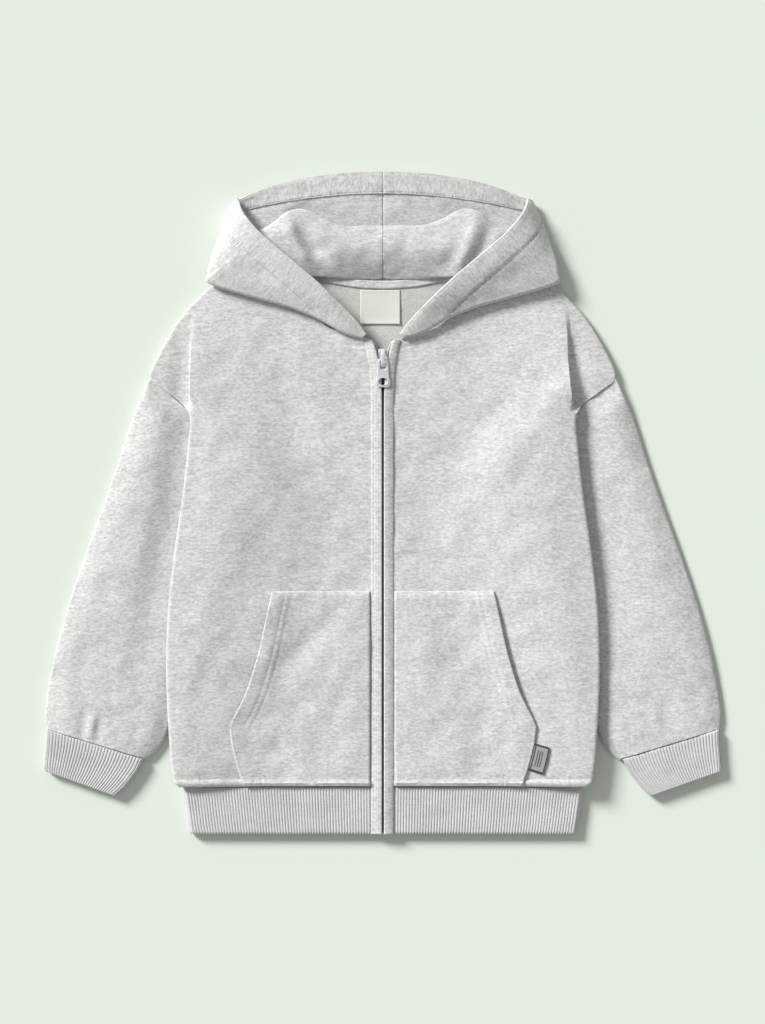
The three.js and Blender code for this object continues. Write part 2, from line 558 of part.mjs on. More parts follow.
// Middle of the hood's cloth. u is 0 to 1 over the upper layer, 1 to 2 round the fold, 2 to 3 on the way back.
function hoodMiddle(v, u) {
  const at = (column) => readRow(HOOD_ROWS, v, column);
  const r = at("r");
  const out = new THREE.Vector2(at("bx") - at("ex"), at("by") - at("ey"));
  const reach = out.length();
  out.normalize();
  const fold = { x: at("bx") - out.x * r, y: at("by") - out.y * r };
  if (u <= 1) {
    const crown = 1.6 * ease(reach / 25) * Math.sin(Math.PI * u);
    const x = mix(at("ex"), fold.x, u);
    const y = mix(at("ey"), fold.y, u);
    return new THREE.Vector3(x, y, mix(at("ez"), at("zb") + 2 * r, ease(u)) + crown);
  }
  if (u < 2) {
    const angle = Math.PI * (u - 1);
    const push = r * Math.sin(angle);
    return new THREE.Vector3(fold.x + out.x * push, fold.y + out.y * push, at("zb") + r * (1 + Math.cos(angle)));
  }
  const s = 3 - u; // 0 at the seam, 1 at the fold
  const bump = Math.exp(-(((s - BOW_CENTRE) / BOW_WIDTH) ** 2));
  const x = mix(at("fx"), fold.x, s);
  const y = mix(at("fy"), fold.y, s ** at("bend")) + at("bow") * bump * Math.sin(Math.PI * s);
  const z =
    s < BOW_CENTRE
      ? mix(at("zf"), at("zm"), ease(s / BOW_CENTRE))
      : mix(at("zm"), at("zb"), ease((s - BOW_CENTRE) / (1 - BOW_CENTRE)));
  return new THREE.Vector3(x, y, z);
}

// The hood's outward direction at a place, from the places beside it.
function hoodNormal(v, u) {
  const d = 0.02;
  const alongRow = hoodMiddle(v, Math.min(3, u + d)).sub(hoodMiddle(v, Math.max(0, u - d)));
  const alongColumn = hoodMiddle(Math.min(1, v + d / 2), u).sub(hoodMiddle(Math.max(0, v - d / 2), u));
  return alongRow.cross(alongColumn).normalize();
}

function hoodPoint(v, u, off) {
  const p = hoodMiddle(v, u).addScaledVector(hoodNormal(v, u), off);
  return [Math.max(p.x, 0.3), Math.min(p.y, HOOD_TOP), Math.max(p.z, 0)];
}

const HOOD_COLUMNS = [
  ...[0, 0.25, 0.5, 0.75, 1],
  ...[1.33, 1.67, 2],
  ...[2.12, 2.24, 2.36, 2.46, 2.56, 2.68, 2.8, 2.9, 3],
];
const HOOD_INSIDE_COLUMNS = [0, 0.5, 1, 1.33, 1.67, 2, 2.18, 2.36, 2.48, 2.62, 2.8, 3];

function hoodHalf(side) {
  const rows = steps(24);
  const make = (off, columns) => grid(rows, columns, (v, u) => hoodPoint(v, u, off));
  const outside = make(CLOTH / 2, HOOD_COLUMNS);
  const inside = make(-CLOTH / 2, HOOD_INSIDE_COLUMNS);
  return wall(mirror(outside, side), mirror(inside, side));
}

// The wide hem turned in along the top of the opening, where it shows inside the hood.
function hoodHem(side) {
  const first = (HOOD_ROWS.length - 3) / (HOOD_ROWS.length - 1);
  const rows = steps(5, first, 0.985);
  const columns = [2.08, 2.22, 2.36, 2.5, 2.64, 2.78, 2.9, 3];
  const near = -CLOTH / 2 - SEAM;
  const make = (off) => grid(rows, columns, (v, u) => hoodPoint(v, u, off));
  return wall(mirror(make(near), side), mirror(make(near - 1.4), side));
}

// Inside the neck: the tape over the neck seam and the plain label under it
function neckTape() {
  const make = (height) =>
    grid([8.2, 1.4], steps(12, -1, 1), (below, u) => {
      const x = 58 * u;
      return [x, backNeckline(x) - below, height];
    });
  return wall(make(CLOTH + SEAM + 1), make(CLOTH + SEAM));
}

function neckLabel() {
  const [left, right, low, high] = [-18.6, 14, 146.4, 174.4];
  const make = (height) => grid([low, high], [left, right], (y, x) => [x, y, height]);
  return wall(make(CLOTH + SEAM + LABEL_THICK), make(CLOTH + SEAM));
}

// The zip
const TAPE_EDGE = [
  { y: HEM_END + 1, x: 0.15 },
  { y: 60, x: 0.15 },
  { y: 104, x: 0.15 },
  { y: 112, x: 1 },
  { y: 120, x: 3 },
  { y: 126, x: 4.8 },
  { y: 132.5, x: 8 },
];

function zipTape(side) {
  const rows = [HEM_END + 1, -180, -90, 0, 60, 90, 104, 110, 116, 122, 127, 132.5];
  const make = (height) =>
    grid(rows, [0, 1], (y, u) => [read(TAPE_EDGE, "y", y, "x") + TAPE_WIDTH * u, y, height]);
  return wall(mirror(make(TAPE_LOW + TAPE_THICK), side), mirror(make(TAPE_LOW), side));
}

const CHAIN_TOP = 106;
function zipChain() {
  const low = TAPE_LOW + TAPE_THICK + SEAM;
  const long = CHAIN_TOP - HEM_END - 1.5;
  const strip = new THREE.BoxGeometry(2 * CHAIN_HALF, long, 1.5);
  return strip.translate(0, CHAIN_TOP - long / 2, low + 0.75);
}

// A three.js geometry as a manifold-3d solid, and the way back.
function toSolid(geometry) {
  const flat = geometry.index ? geometry.toNonIndexed() : geometry;
  const position = flat.getAttribute("position");
  const seen = new Map();
  const [points, corners] = [[], []];
  for (let i = 0; i < position.count; i++) {
    const p = [position.getX(i), position.getY(i), position.getZ(i)];
    const key = p.map((c) => c.toFixed(4)).join();
    if (!seen.has(key)) {
      seen.set(key, seen.size);
      points.push(...p);
    }
    corners.push(seen.get(key));
  }
  const mesh = new wasm.Mesh({
    numProp: 3,
    vertProperties: new Float32Array(points),
    triVerts: new Uint32Array(corners),
  });
  return new wasm.Manifold(mesh);
}

function toGeometry(solid) {
  const mesh = solid.getMesh();
  const geometry = new THREE.BufferGeometry();
  geometry.setAttribute("position", new THREE.BufferAttribute(mesh.vertProperties, 3));
  geometry.setIndex(new THREE.BufferAttribute(mesh.triVerts, 1));
  return geometry;
}

// A plate cut from a flat outline in X and Y, between two heights.
function plate(outline, low, high, holes = []) {
  const shape = new THREE.Shape(outline.map(([x, y]) => new THREE.Vector2(x, y)));
  for (const hole of holes) shape.holes.push(new THREE.Path(hole.map(([x, y]) => new THREE.Vector2(x, y))));
  const geometry = new THREE.ExtrudeGeometry(shape, { depth: high - low, bevelEnabled: false });
  return geometry.translate(0, 0, low);
}

// The slider: two plates joined by a post, and a bridge over the upper one that holds the pull tab.
const PIVOT = { y: 117, z: 11.2 };
const PIN_RADIUS = 0.7;

function zipSlider() {
  const outline = [[-2.9, 106.6], [2.9, 106.6], [4, 113], [4, 124.6], [2.6, 126], [-2.6, 126], [-4, 124.6], [-4, 113]];
  const upper = plate(outline, 6.9, 8);
  const lower = plate(outline, 2.8, 3.7);
  const post = new THREE.BoxGeometry(2, 3.4, 4.5).translate(0, 123.4, 5.45);
  const arch = [[110.5, 7.6], [110.5, 10.6], [111.6, 12.6], [113.6, 13.4], [121, 13.4], [124, 12.4], [125.6, 10], [125.8, 7.6]];
  const under = [[123.8, 7.6], [123.6, 9.8], [122.4, 11.6], [120.6, 12.3], [114, 12.3], [112.8, 11.8], [112, 10.4], [112, 7.6]];
  const profile = new THREE.Shape([...arch, ...under].map(([y, z]) => new THREE.Vector2(y, z)));
  const bridge = new THREE.ExtrudeGeometry(profile, { depth: 3.2, bevelEnabled: false });
  // The profile is drawn in Y and Z, so its plane is stood up and centred on X.
  bridge.applyMatrix4(new THREE.Matrix4().set(0, 0, 1, -1.6, 1, 0, 0, 0, 0, 1, 0, 0, 0, 0, 0, 1));
  return toGeometry([upper, lower, post, bridge].map(toSolid).reduce((a, b) => a.add(b)));
}

// The pull tab lies flat, its top bar through the bridge and its window round the bridge's lower leg.
function zipPull() {
  const [top, windowEnd, end] = [PIVOT.y + PIN_RADIUS, PIVOT.y - 7.9, 94.7];
  const half = [[4.4, top], [4.7, 110], [4.3, 104], [4.9, 99.5], [5.6, 97.4], [5.2, 95.8], [3.2, end]];
  const outline = [...half, ...half.map(([x, y]) => [-x, y]).reverse()];
  const windowSide = 2.6;
  const bar = PIVOT.y - PIN_RADIUS;
  const opening = [[-windowSide, windowEnd], [windowSide, windowEnd], [windowSide, bar], [-windowSide, bar]];
  const ring = steps(15, 0, (2 * Math.PI * 15) / 16).map((a) => [2.9 * Math.cos(a), 98.8 + 2 * Math.sin(a)]);
  return plate(outline, PIVOT.z - PIN_RADIUS, PIVOT.z + PIN_RADIUS, [opening, ring]);
}

// The garment

const FLEECE = { color: 0xd6d6d6, roughness: 0.95, metalness: 0 };
const RIB = { color: 0xc9c9cb, roughness: 0.92, metalness: 0 };
const INSIDE = { color: 0xd4d5ce, roughness: 0.95, metalness: 0 };
const TAPE = { color: 0xc4c4c2, roughness: 0.85, metalness: 0 };
const METAL = { color: 0xc9ccd2, roughness: 0.35, metalness: 0.9 };
const LABEL = { color: 0xecebe4, roughness: 0.8, metalness: 0 };
const TAG = { color: 0x9a9a9e, roughness: 0.8, metalness: 0 };

const RIGHT = 1;
const LEFT = -1;
const hoodie = new THREE.Group();

function piece(name, geometry, finish) {
  const mesh = new THREE.Mesh(geometry, new THREE.MeshStandardMaterial(finish));
  mesh.name = name;
  hoodie.add(mesh);
}

piece("back", backPanel(), FLEECE);
piece("neck_tape", neckTape(), FLEECE);
piece("neck_label", neckLabel(), LABEL);
piece("hem_band_back", hemBandBack(), RIB);
for (const [word, side] of [["right", RIGHT], ["left", LEFT]]) {
  piece(`front_${word}`, frontPanel(side), FLEECE);
  piece(`placket_${word}`, placket(side), FLEECE);
  piece(`pocket_${word}`, pocket(side), FLEECE);
  piece(`sleeve_${word}`, sleeve(side), FLEECE);
  piece(`cuff_${word}`, cuff(side), RIB);
  piece(`hem_band_front_${word}`, hemBandFront(side), RIB);
  piece(`hood_${word}`, hoodHalf(side), FLEECE);
  piece(`hood_hem_${word}`, hoodHem(side), FLEECE);
  piece(`zip_tape_${word}`, zipTape(side), TAPE);
}
piece("pocket_tag", pocketTag(RIGHT), TAG);
piece("zip_chain", zipChain(), METAL);
piece("zip_slider", zipSlider(), METAL);
piece("zip_pull", zipPull(), METAL);

export default hoodie;
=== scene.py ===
# The toddler hoodie's looks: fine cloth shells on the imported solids, with sewing, zip and finishes.
# Sizes are in millimetres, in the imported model's own frame, and become metres where a mesh is made.
# X runs to the viewer's right, Y towards the hood, Z up from the surface that it lies on.
import math

import bmesh
import bpy
import numpy as np
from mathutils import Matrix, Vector


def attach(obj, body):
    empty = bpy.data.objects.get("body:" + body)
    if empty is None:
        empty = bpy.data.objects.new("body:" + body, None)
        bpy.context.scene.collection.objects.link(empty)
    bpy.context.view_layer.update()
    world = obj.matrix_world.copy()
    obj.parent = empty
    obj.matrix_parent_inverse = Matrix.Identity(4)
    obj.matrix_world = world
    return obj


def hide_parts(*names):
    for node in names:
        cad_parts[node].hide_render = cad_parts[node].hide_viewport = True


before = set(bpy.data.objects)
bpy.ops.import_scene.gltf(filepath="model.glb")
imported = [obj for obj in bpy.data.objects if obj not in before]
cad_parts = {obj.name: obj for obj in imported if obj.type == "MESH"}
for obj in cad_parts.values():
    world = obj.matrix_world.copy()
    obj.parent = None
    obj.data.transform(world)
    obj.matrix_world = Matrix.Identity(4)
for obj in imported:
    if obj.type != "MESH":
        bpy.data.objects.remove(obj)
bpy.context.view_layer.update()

# Driving sizes
MM = 0.001
CLOTH = 2.2
HALF = 4.0
SEAM = 0.3
ROLL = 5.0
HEM_LINE = -232.0
HEM_END = -270.6
HOOD_TOP = 270.6
PLACKET_WIDTH = 9.0
PLACKET_THICK = 1.6
RIB_THICK = 2.4
RIB_DEPTH = 0.52
RIB_PITCH = 2.36
TAPE_LOW = 4.2
TAPE_THICK = 0.8
TAPE_WIDTH = 10.0
TUCK = 2 * HALF + SEAM
SHOULDER_TIP = (190.8, 102.0)
UNDERARM = (121.0, 43.0)
SLEEVE_FOOT = (176.5, -190.0)
RIGHT = 1
LEFT = -1
WORDS = {RIGHT: "right", LEFT: "left"}


# Tables and curves
def table(columns, *rows):
    """Named columns of numbers, with each row's place from 0 to 1 as one more."""
    named = dict(zip(columns.split(), np.array(rows, float).T))
    named["place"] = np.linspace(0, 1, len(rows))
    return named


def curve(rows, key, at, column):
    """A smooth value of one column, at values of its rising key column."""
    keys, values = rows[key], rows[column]
    last = len(keys) - 1
    at = np.clip(at, keys[0], keys[-1])
    i = np.clip(np.searchsorted(keys, at, side="right") - 1, 0, last - 1)
    before = np.maximum(i - 1, 0)
    after = np.minimum(i + 2, last)
    span = keys[i + 1] - keys[i]
    t = (at - keys[i]) / span
    slope_a = (values[i + 1] - values[before]) / (keys[i + 1] - keys[before]) * span
    slope_b = (values[after] - values[i]) / (keys[after] - keys[i]) * span
    return (
        (2 * t**3 - 3 * t**2 + 1) * values[i]
        + (t**3 - 2 * t**2 + t) * slope_a
        + (3 * t**2 - 2 * t**3) * values[i + 1]
        + (t**3 - t**2) * slope_b
    )


def columns_at(rows, v, names):
    return [curve(rows, "place", v, name) for name in names.split()]


def ease(t):
    t = np.clip(t, 0, 1)
    return t * t * (3 - 2 * t)


def mix(a, b, t):
    return a + (b - a) * t


# How square a folded side is: 1 is a half circle, less is squarer and more is rounder.
FOLD_SQUARE = 0.6  # in the upper layer
UNDER_SQUARE = 1.2  # in the lower layer, which rolls away from the floor

# Distances from an edge at which its rounding is drawn.
EDGE = np.array([0, 0.12, 0.35, 0.7, 1.15, 1.7, 2.3])


def stations(total, step, start=0.0, end=0.0, fine=0.8):
    """Distances along a line: an edge's own at each end, then close together up to start and end."""
    head = np.concatenate([EDGE, np.arange(EDGE[-1] + fine, start, fine)]) if start else np.zeros(1)
    tail = np.concatenate([EDGE, np.arange(EDGE[-1] + fine, end, fine)]) if end else np.zeros(1)
    free = total - head[-1] - tail[-1]
    middle = np.linspace(head[-1], total - tail[-1], max(2, round(free / step)) + 1)
    return np.concatenate([head[:-1], middle, (total - tail[:-1])[::-1]])


def shares(total, step, **ends):
    """The same as shares of the line, from 0 to 1."""
    return stations(total, step, **ends) / total


def rounded(distance, radius):
    """Share of the full thickness at a distance from a rounded edge."""
    inward = 1 - np.clip(distance / radius, 0, 1)
    return np.sqrt(np.maximum(1 - inward**2, 0.004))


def groove(distance, at, depth, width=0.85):
    """Height lost along a line of stitches."""
    return -depth * np.exp(-(((distance - at) / width) ** 2))


def distance_to(path, x, y):
    """Distance in plan from each point to a line of points."""
    nearest = np.full(np.shape(x), np.inf)
    for (ax, ay), (bx, by) in zip(path[:-1], path[1:]):
        dx, dy = bx - ax, by - ay
        t = np.clip(((x - ax) * dx + (y - ay) * dy) / (dx * dx + dy * dy), 0, 1)
        nearest = np.minimum(nearest, np.hypot(x - ax - t * dx, y - ay - t * dy))
    return nearest


# Soft relief of the cloth
CREASE_COLUMNS = "x0 y0 x1 y1 width height bend"


def creases(rows, x, y):
    """Soft troughs (height below 0) and ridges along bent lines, each fading over its width."""
    total = np.zeros(np.broadcast(x, y).shape)
    for x0, y0, x1, y1, width, height, bend in zip(*(rows[name] for name in CREASE_COLUMNS.split())):
        dx, dy = x1 - x0, y1 - y0
        long = math.hypot(dx, dy)
        along = ((x - x0) * dx + (y - y0) * dy) / long**2
        near = np.clip(along, 0, 1)
        across = ((x - x0) * dy - (y - y0) * dx) / long - bend * np.sin(np.pi * near)
        fade = ease(np.clip(near, 0, 0.3) / 0.3) * ease(np.clip(1 - near, 0, 0.3) / 0.3)
        off = np.hypot(across, (along - near) * long)
        total += height * (0.25 + 0.75 * fade) * np.exp(-((off / width) ** 2))
    return total


def ripple(x, y, seed, longest=58.0, shortest=15.0, height=0.34):
    """The slight unevenness of brushed cloth that lies loose, as a few crossing waves."""
    chance = np.random.default_rng(seed)
    total = np.zeros(np.broadcast(x, y).shape)
    waves = 9
    for k in range(waves):
        length = longest * (shortest / longest) ** (k / (waves - 1))
        turn = chance.uniform(0, math.pi)
        phase = chance.uniform(0, 2 * math.pi, 2)
        along = 2 * math.pi * (x * math.cos(turn) + y * math.sin(turn)) / length
        across = 2 * math.pi * (y * math.cos(turn) - x * math.sin(turn)) / (2.3 * length)
        wave = np.sin(along + phase[0] + 0.9 * np.sin(across + phase[1]))
        total += wave * (length / longest) ** 0.75
    return height * total / 2.2


def pucker(distance, along, seed, height=0.16, reach=3.4):
    """Little gathers that a line of stitches pulls into the cloth beside it."""
    chance = np.random.default_rng(seed)
    a, b = chance.uniform(0, 2 * math.pi, 2)
    wave = np.sin(along * 1.18 + a + 1.1 * np.sin(along * 0.31 + b)) + 0.6 * np.sin(along * 2.13 + b)
    return height * wave * np.exp(-((distance / reach) ** 2))


# Meshes
def points_at(x, y, z):
    """A grid's points, from coordinates that run along its rows, its columns or both."""
    return np.stack(np.broadcast_arrays(x, y, z), -1)


def mirror(side):
    """What a point is multiplied by to come to its own side."""
    return np.array([side, 1, 1])


def whole(left, right):
    """One grid across both halves, from two that start at the middle."""
    return np.concatenate([left[:, :0:-1], right], 1)


def quads(index):
    return np.stack([index[:-1, :-1], index[:-1, 1:], index[1:, 1:], index[1:, :-1]], -1).reshape(-1, 4)


def wall(outer, inner, ring):
    """Points, faces and how many faces are outer ones, for a closed wall between two like grids."""
    if ring:
        outer, inner = outer[:, :-1], inner[:, :-1]
    rows, columns = outer.shape[:2]
    index = np.arange(rows * columns).reshape(rows, columns)
    below = index + rows * columns
    if ring:
        index = np.concatenate([index, index[:, :1]], 1)
        below = np.concatenate([below, below[:, :1]], 1)
    top = quads(index)
    parts = [top, quads(below)[:, ::-1]]
    parts.append(quads(np.stack([below[0], index[0]])))
    parts.append(quads(np.stack([index[-1], below[-1]])))
    if not ring:
        parts.append(quads(np.stack([index[:, 0], below[:, 0]])))
        parts.append(quads(np.stack([below[:, -1], index[:, -1]])))
    points = np.concatenate([outer.reshape(-1, 3), inner.reshape(-1, 3)])
    faces = np.concatenate(parts)
    a, b, c, d = (points[faces[:, k]] for k in range(4))
    volume = (np.cross(a, b) * c).sum() + (np.cross(a, c) * d).sum()
    if volume < 0:
        faces = faces[:, ::-1]
    return points, faces, len(top)


def add_mesh(name, points, faces, materials, face_material=None, sharp=48):
    mesh = bpy.data.meshes.new(name)
    mesh.from_pydata((np.asarray(points) * MM).tolist(), [], [list(map(int, face)) for face in faces])
    for material in materials:
        mesh.materials.append(material)
    if face_material is not None:
        mesh.polygons.foreach_set("material_index", np.asarray(face_material, np.int32))
    mesh.shade_smooth()
    mesh.set_sharp_from_angle(angle=math.radians(sharp))
    mesh.update()
    piece = bpy.data.objects.new(name, mesh)
    bpy.context.scene.collection.objects.link(piece)
    return piece


def dress(piece, node, body="garment"):
    """The piece stands for its CAD node, which it hides, and moves with its body."""
    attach(piece, body)
    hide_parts(node)
    return piece


def cloth(node, outer, inner, slot, materials, side=1, ring=False, outside=0):
    """A shell of cloth on a node's form. outside is the outer material's number, or one for each face."""
    points, faces, count = wall(outer * mirror(side), inner * mirror(side), ring)
    kinds = np.full(len(faces), len(materials) - 1)
    kinds[:count] = outside
    return dress(add_mesh(f"{node}_cloth", points, faces, materials, kinds), node)


# Shader values that take Python arithmetic
class Value:
    def __init__(self, paint, socket):
        self.paint = paint
        self.socket = socket

    def maths(self, operation, *terms):
        return self.paint.node("ShaderNodeMath", {"operation": operation}, dict(enumerate(terms)))

    def __add__(self, other):
        return self.maths("ADD", self, other)

    def __mul__(self, other):
        return self.maths("MULTIPLY", self, other)

    def __rsub__(self, other):
        return self.maths("SUBTRACT", other, self)

    __radd__ = __add__
    __rmul__ = __mul__


class Paint:
    """A material and its nodes."""

    def __init__(self, name):
        self.material = bpy.data.materials.new(name)
        self.material.use_nodes = True
        self.tree = self.material.node_tree
        self.tree.nodes.clear()

    def node(self, kind, settings=None, inputs=None, output=0):
        made = self.tree.nodes.new(kind)
        for name, value in (settings or {}).items():
            if name == "stops":
                self.fill_ramp(made.color_ramp, value)
            else:
                setattr(made, name, value)
        for name, value in (inputs or {}).items():
            if isinstance(value, Value):
                self.tree.links.new(value.socket, made.inputs[name])
            else:
                made.inputs[name].default_value = value
        return Value(self, made.outputs[output]) if made.outputs else None

    @staticmethod
    def fill_ramp(ramp, stops):
        while len(ramp.elements) < len(stops):
            ramp.elements.new(1.0)
        for element, (place, level) in zip(ramp.elements, stops):
            element.position = place
            element.color = (level, level, level, 1)

    def place(self, turn, stretch):
        """Object coordinates in millimetres, turned, then divided by a stretch along each axis."""
        here = self.node("ShaderNodeTexCoord", output="Object")
        turned = self.node("ShaderNodeMapping", {}, {"Vector": here, "Rotation": (0, 0, -turn)})
        scale = tuple(1 / (MM * s) for s in stretch)
        return self.node("ShaderNodeMapping", {}, {"Vector": turned, "Scale": scale})

    def noise(self, place, detail, roughness, distortion=0.0):
        inputs = {"Vector": place, "Scale": 1.0, "Detail": detail, "Roughness": roughness}
        inputs["Distortion"] = distortion
        return self.node("ShaderNodeTexNoise", {}, inputs)

    def wave(self, place, bands, distortion):
        """Soft bands that follow one another along an axis."""
        inputs = {"Vector": place, "Scale": 1.0, "Distortion": distortion, "Detail": 1.0}
        return self.node("ShaderNodeTexWave", {"bands_direction": bands}, inputs)

    def spread(self, value, low, high):
        """The value from low to high, spread out over 0 to 1."""
        inputs = {"Value": value, "From Min": low, "From Max": high}
        return self.node("ShaderNodeMapRange", {"clamp": True}, inputs)

    def blend(self, factor, a, b):
        ends = {0: factor, 6: (*a, 1) if isinstance(a, tuple) else a}
        ends[7] = (*b, 1) if isinstance(b, tuple) else b
        return self.node("ShaderNodeMix", {"data_type": "RGBA"}, ends, 2)

    def bump(self, height, distance, strength):
        """Relief of a height of 0 to 1 over a distance in millimetres."""
        inputs = {"Height": height, "Distance": distance * MM, "Strength": strength}
        return self.node("ShaderNodeBump", {}, inputs)

    def finish(self, inputs):
        shader = self.node("ShaderNodeBsdfPrincipled", {}, inputs)
        self.node("ShaderNodeOutputMaterial", {}, {"Surface": shader})
        return self.material


SHEEN = {"Sheen Weight": 0.22, "Sheen Roughness": 0.45, "Specular IOR Level": 0.25}


def grey(level, warm=0.0):
    return (level * (1 + warm), level, level * (1 - warm))


def marl_fleece(name, turn=0.0, tone=1.0, contrast=1.0):
    """Grey marl: short dark and light dashes of fibre along the courses, over faint clouds."""
    paint = Paint(name)
    dashes = paint.noise(paint.place(turn, (3.3, 1.6, 1.8)), 3.0, 0.6, 0.5)
    runs = paint.noise(paint.place(turn + 0.1, (9, 2.4, 3)), 3.0, 0.55, 0.6)
    fibres = paint.noise(paint.place(turn + 0.25, (1.2, 0.75, 0.8)), 2.0, 0.6, 0.3)
    clouds = paint.noise(paint.place(turn, (38, 20, 24)), 2.0, 0.5)
    level = paint.spread(dashes, 0.33, 0.69) * 0.5 + paint.spread(runs, 0.3, 0.7) * 0.24
    level = paint.spread(level + fibres * 0.42 + clouds * 0.26, 0.4, 1.0)
    # tone scales every grey; the one copy with a tone above 1, the left wing's, is lightened as painted
    # light.
    mid = 0.63 * tone
    reach = 0.155 * contrast
    color = paint.blend(level, grey(mid - reach, -0.004), grey(mid + reach, 0.004))
    flecks = paint.spread(paint.noise(paint.place(turn + 0.3, (2.2, 0.5, 0.6)), 1.0, 0.5), 0.66, 0.76)
    color = paint.blend(flecks * 0.35, color, grey(0.34 * tone))
    fuzz = paint.noise(paint.place(turn, (0.7, 0.45, 0.5)), 3.0, 0.6)
    relief = paint.bump(fuzz + dashes * 0.8, 0.26, 0.6)
    rough = 0.93 - level * 0.07
    return paint.finish({"Base Color": color, "Roughness": rough, "Normal": relief, **SHEEN})


def fleece_inside(name):
    """The brushed inside: off-white, with a short uneven nap."""
    paint = Paint(name)
    nap = paint.noise(paint.place(0.2, (1.7, 1.2, 1.3)), 4.0, 0.65, 0.6)
    clouds = paint.noise(paint.place(0, (12, 9, 9)), 2.0, 0.5)
    level = paint.spread(nap * 0.62 + clouds * 0.38, 0.34, 0.66)
    color = paint.blend(level, (0.49, 0.495, 0.462), (0.68, 0.685, 0.65))
    relief = paint.bump(nap, 0.7, 0.9)
    inputs = {"Base Color": color, "Roughness": 0.95, "Normal": relief, **SHEEN}
    return paint.finish({**inputs, "Sheen Weight": 0.35})


def rib_knit(name, turn=0.0):
    """Rib knit: the marl's greys, finer, with little rows of stitches across each rib."""
    paint = Paint(name)
    dashes = paint.noise(paint.place(turn, (1.5, 3.0, 1.6)), 3.0, 0.6, 0.2)
    clouds = paint.noise(paint.place(turn, (26, 14, 14)), 2.0, 0.5)
    level = paint.spread(dashes * 0.6 + clouds * 0.4, 0.34, 0.68)
    color = paint.blend(level, grey(0.52, -0.006), grey(0.67, -0.002))
    courses = paint.wave(paint.place(turn, (5.4, 5.4, 5.4)), "Y", 0.9)
    fuzz = paint.noise(paint.place(turn, (0.4, 0.5, 0.4)), 3.0, 0.6)
    relief = paint.bump(courses * 0.4 + fuzz * 0.8, 0.16, 0.7)
    return paint.finish({"Base Color": color, "Roughness": 0.92, "Normal": relief, **SHEEN})


def woven(name, color_a, color_b, pitch):
    """A plain weave of two colours of thread."""
    paint = Paint(name)
    across = paint.wave(paint.place(0, (6 * pitch,) * 3), "X", 0.4)
    along = paint.wave(paint.place(0, (5 * pitch,) * 3), "Y", 0.4)
    wear = paint.noise(paint.place(0, (5, 5, 5)), 3.0, 0.55)
    level = across * 0.35 + along * 0.3 + wear * 0.35
    color = paint.blend(level, color_a, color_b)
    relief = paint.bump(across * along, 0.12, 0.8)
    rough = 0.82 + wear * 0.08
    return paint.finish({"Base Color": color, "Roughness": rough, "Normal": relief})


def satin_metal(name, light, dark, roughness):
    """Die-cast metal: satin, a little mottled, with fine scratches that dull it."""
    paint = Paint(name)
    mottle = paint.noise(paint.place(0, (1.6, 1.6, 1.6)), 4.0, 0.6)
    scratches = paint.noise(paint.place(0.5, (3.5, 0.08, 0.3)), 2.0, 0.5)
    color = paint.blend(paint.spread(mottle, 0.3, 0.7), dark, light)
    rough = roughness + paint.spread(scratches, 0.5, 0.75) * 0.12 + mottle * 0.08
    relief = paint.bump(mottle * 0.6 + scratches * 0.4, 0.02, 0.5)
    return paint.finish({"Base Color": color, "Roughness": rough, "Metallic": 0.6, "Normal": relief})


def twisted_thread(name, level):
    paint = Paint(name)
    twist = paint.noise(paint.place(0.6, (0.5, 0.25, 0.3)), 2.0, 0.5)
    color = paint.blend(twist, grey(level - 0.08), grey(level + 0.06))
    relief = paint.bump(twist, 0.06, 0.7)
    return paint.finish({"Base Color": color, "Roughness": 0.75, "Normal": relief, "Sheen Weight": 0.1})


def painted_floor(name):
    paint = Paint(name)
    grain = paint.noise(paint.place(0, (2.4, 2.4, 2.4)), 3.0, 0.5)
    clouds = paint.noise(paint.place(0, (180, 140, 100)), 2.0, 0.5)
    color = paint.blend(clouds * 0.5 + grain * 0.5, (0.75, 0.812, 0.735), (0.77, 0.832, 0.755))
    relief = paint.bump(grain, 0.03, 0.3)
    return paint.finish({"Base Color": color, "Roughness": 0.9, "Normal": relief, "Specular IOR Level": 0.1})


MARL = marl_fleece("marl_fleece")
MARL_SLEEVE = {RIGHT: marl_fleece("marl_sleeve_right", -0.12), LEFT: marl_fleece("marl_sleeve_left", 0.12)}
# The viewer's left wing takes a copy of the marl made 6% lighter than the right wing's: painted light, for
# the light that falls more on that wing.
MARL_WING = {RIGHT: marl_fleece("marl_wing_right", -0.75), LEFT: marl_fleece("marl_wing_left_painted_light", 0.75, 1.06)}
MARL_HEM = marl_fleece("marl_upright", math.pi / 2, 1.0, 1.1)
NAP = fleece_inside("fleece_inside")
RIB = rib_knit("rib_knit")
CUFF_RIB = {RIGHT: rib_knit("rib_knit_cuff_right", 0.34), LEFT: rib_knit("rib_knit_cuff_left", -0.34)}
THREAD = twisted_thread("sewing_thread", 0.47)
LABEL_WEAVE = woven("label_weave", (0.69, 0.69, 0.64), (0.79, 0.79, 0.74), 0.35)
TAPE_WEAVE = woven("zip_tape_weave", (0.46, 0.46, 0.46), (0.62, 0.62, 0.61), 0.45)
TAG_WEAVE = woven("tag_weave", (0.29, 0.29, 0.305), (0.38, 0.38, 0.395), 0.3)
TAG_DARK = woven("tag_border", (0.03, 0.03, 0.032), (0.055, 0.055, 0.06), 0.3)
METAL = satin_metal("satin_metal", (0.88, 0.89, 0.92), (0.78, 0.79, 0.82), 0.38)
TEETH = satin_metal("zip_teeth", (0.07, 0.07, 0.072), (0.035, 0.035, 0.037), 0.42)


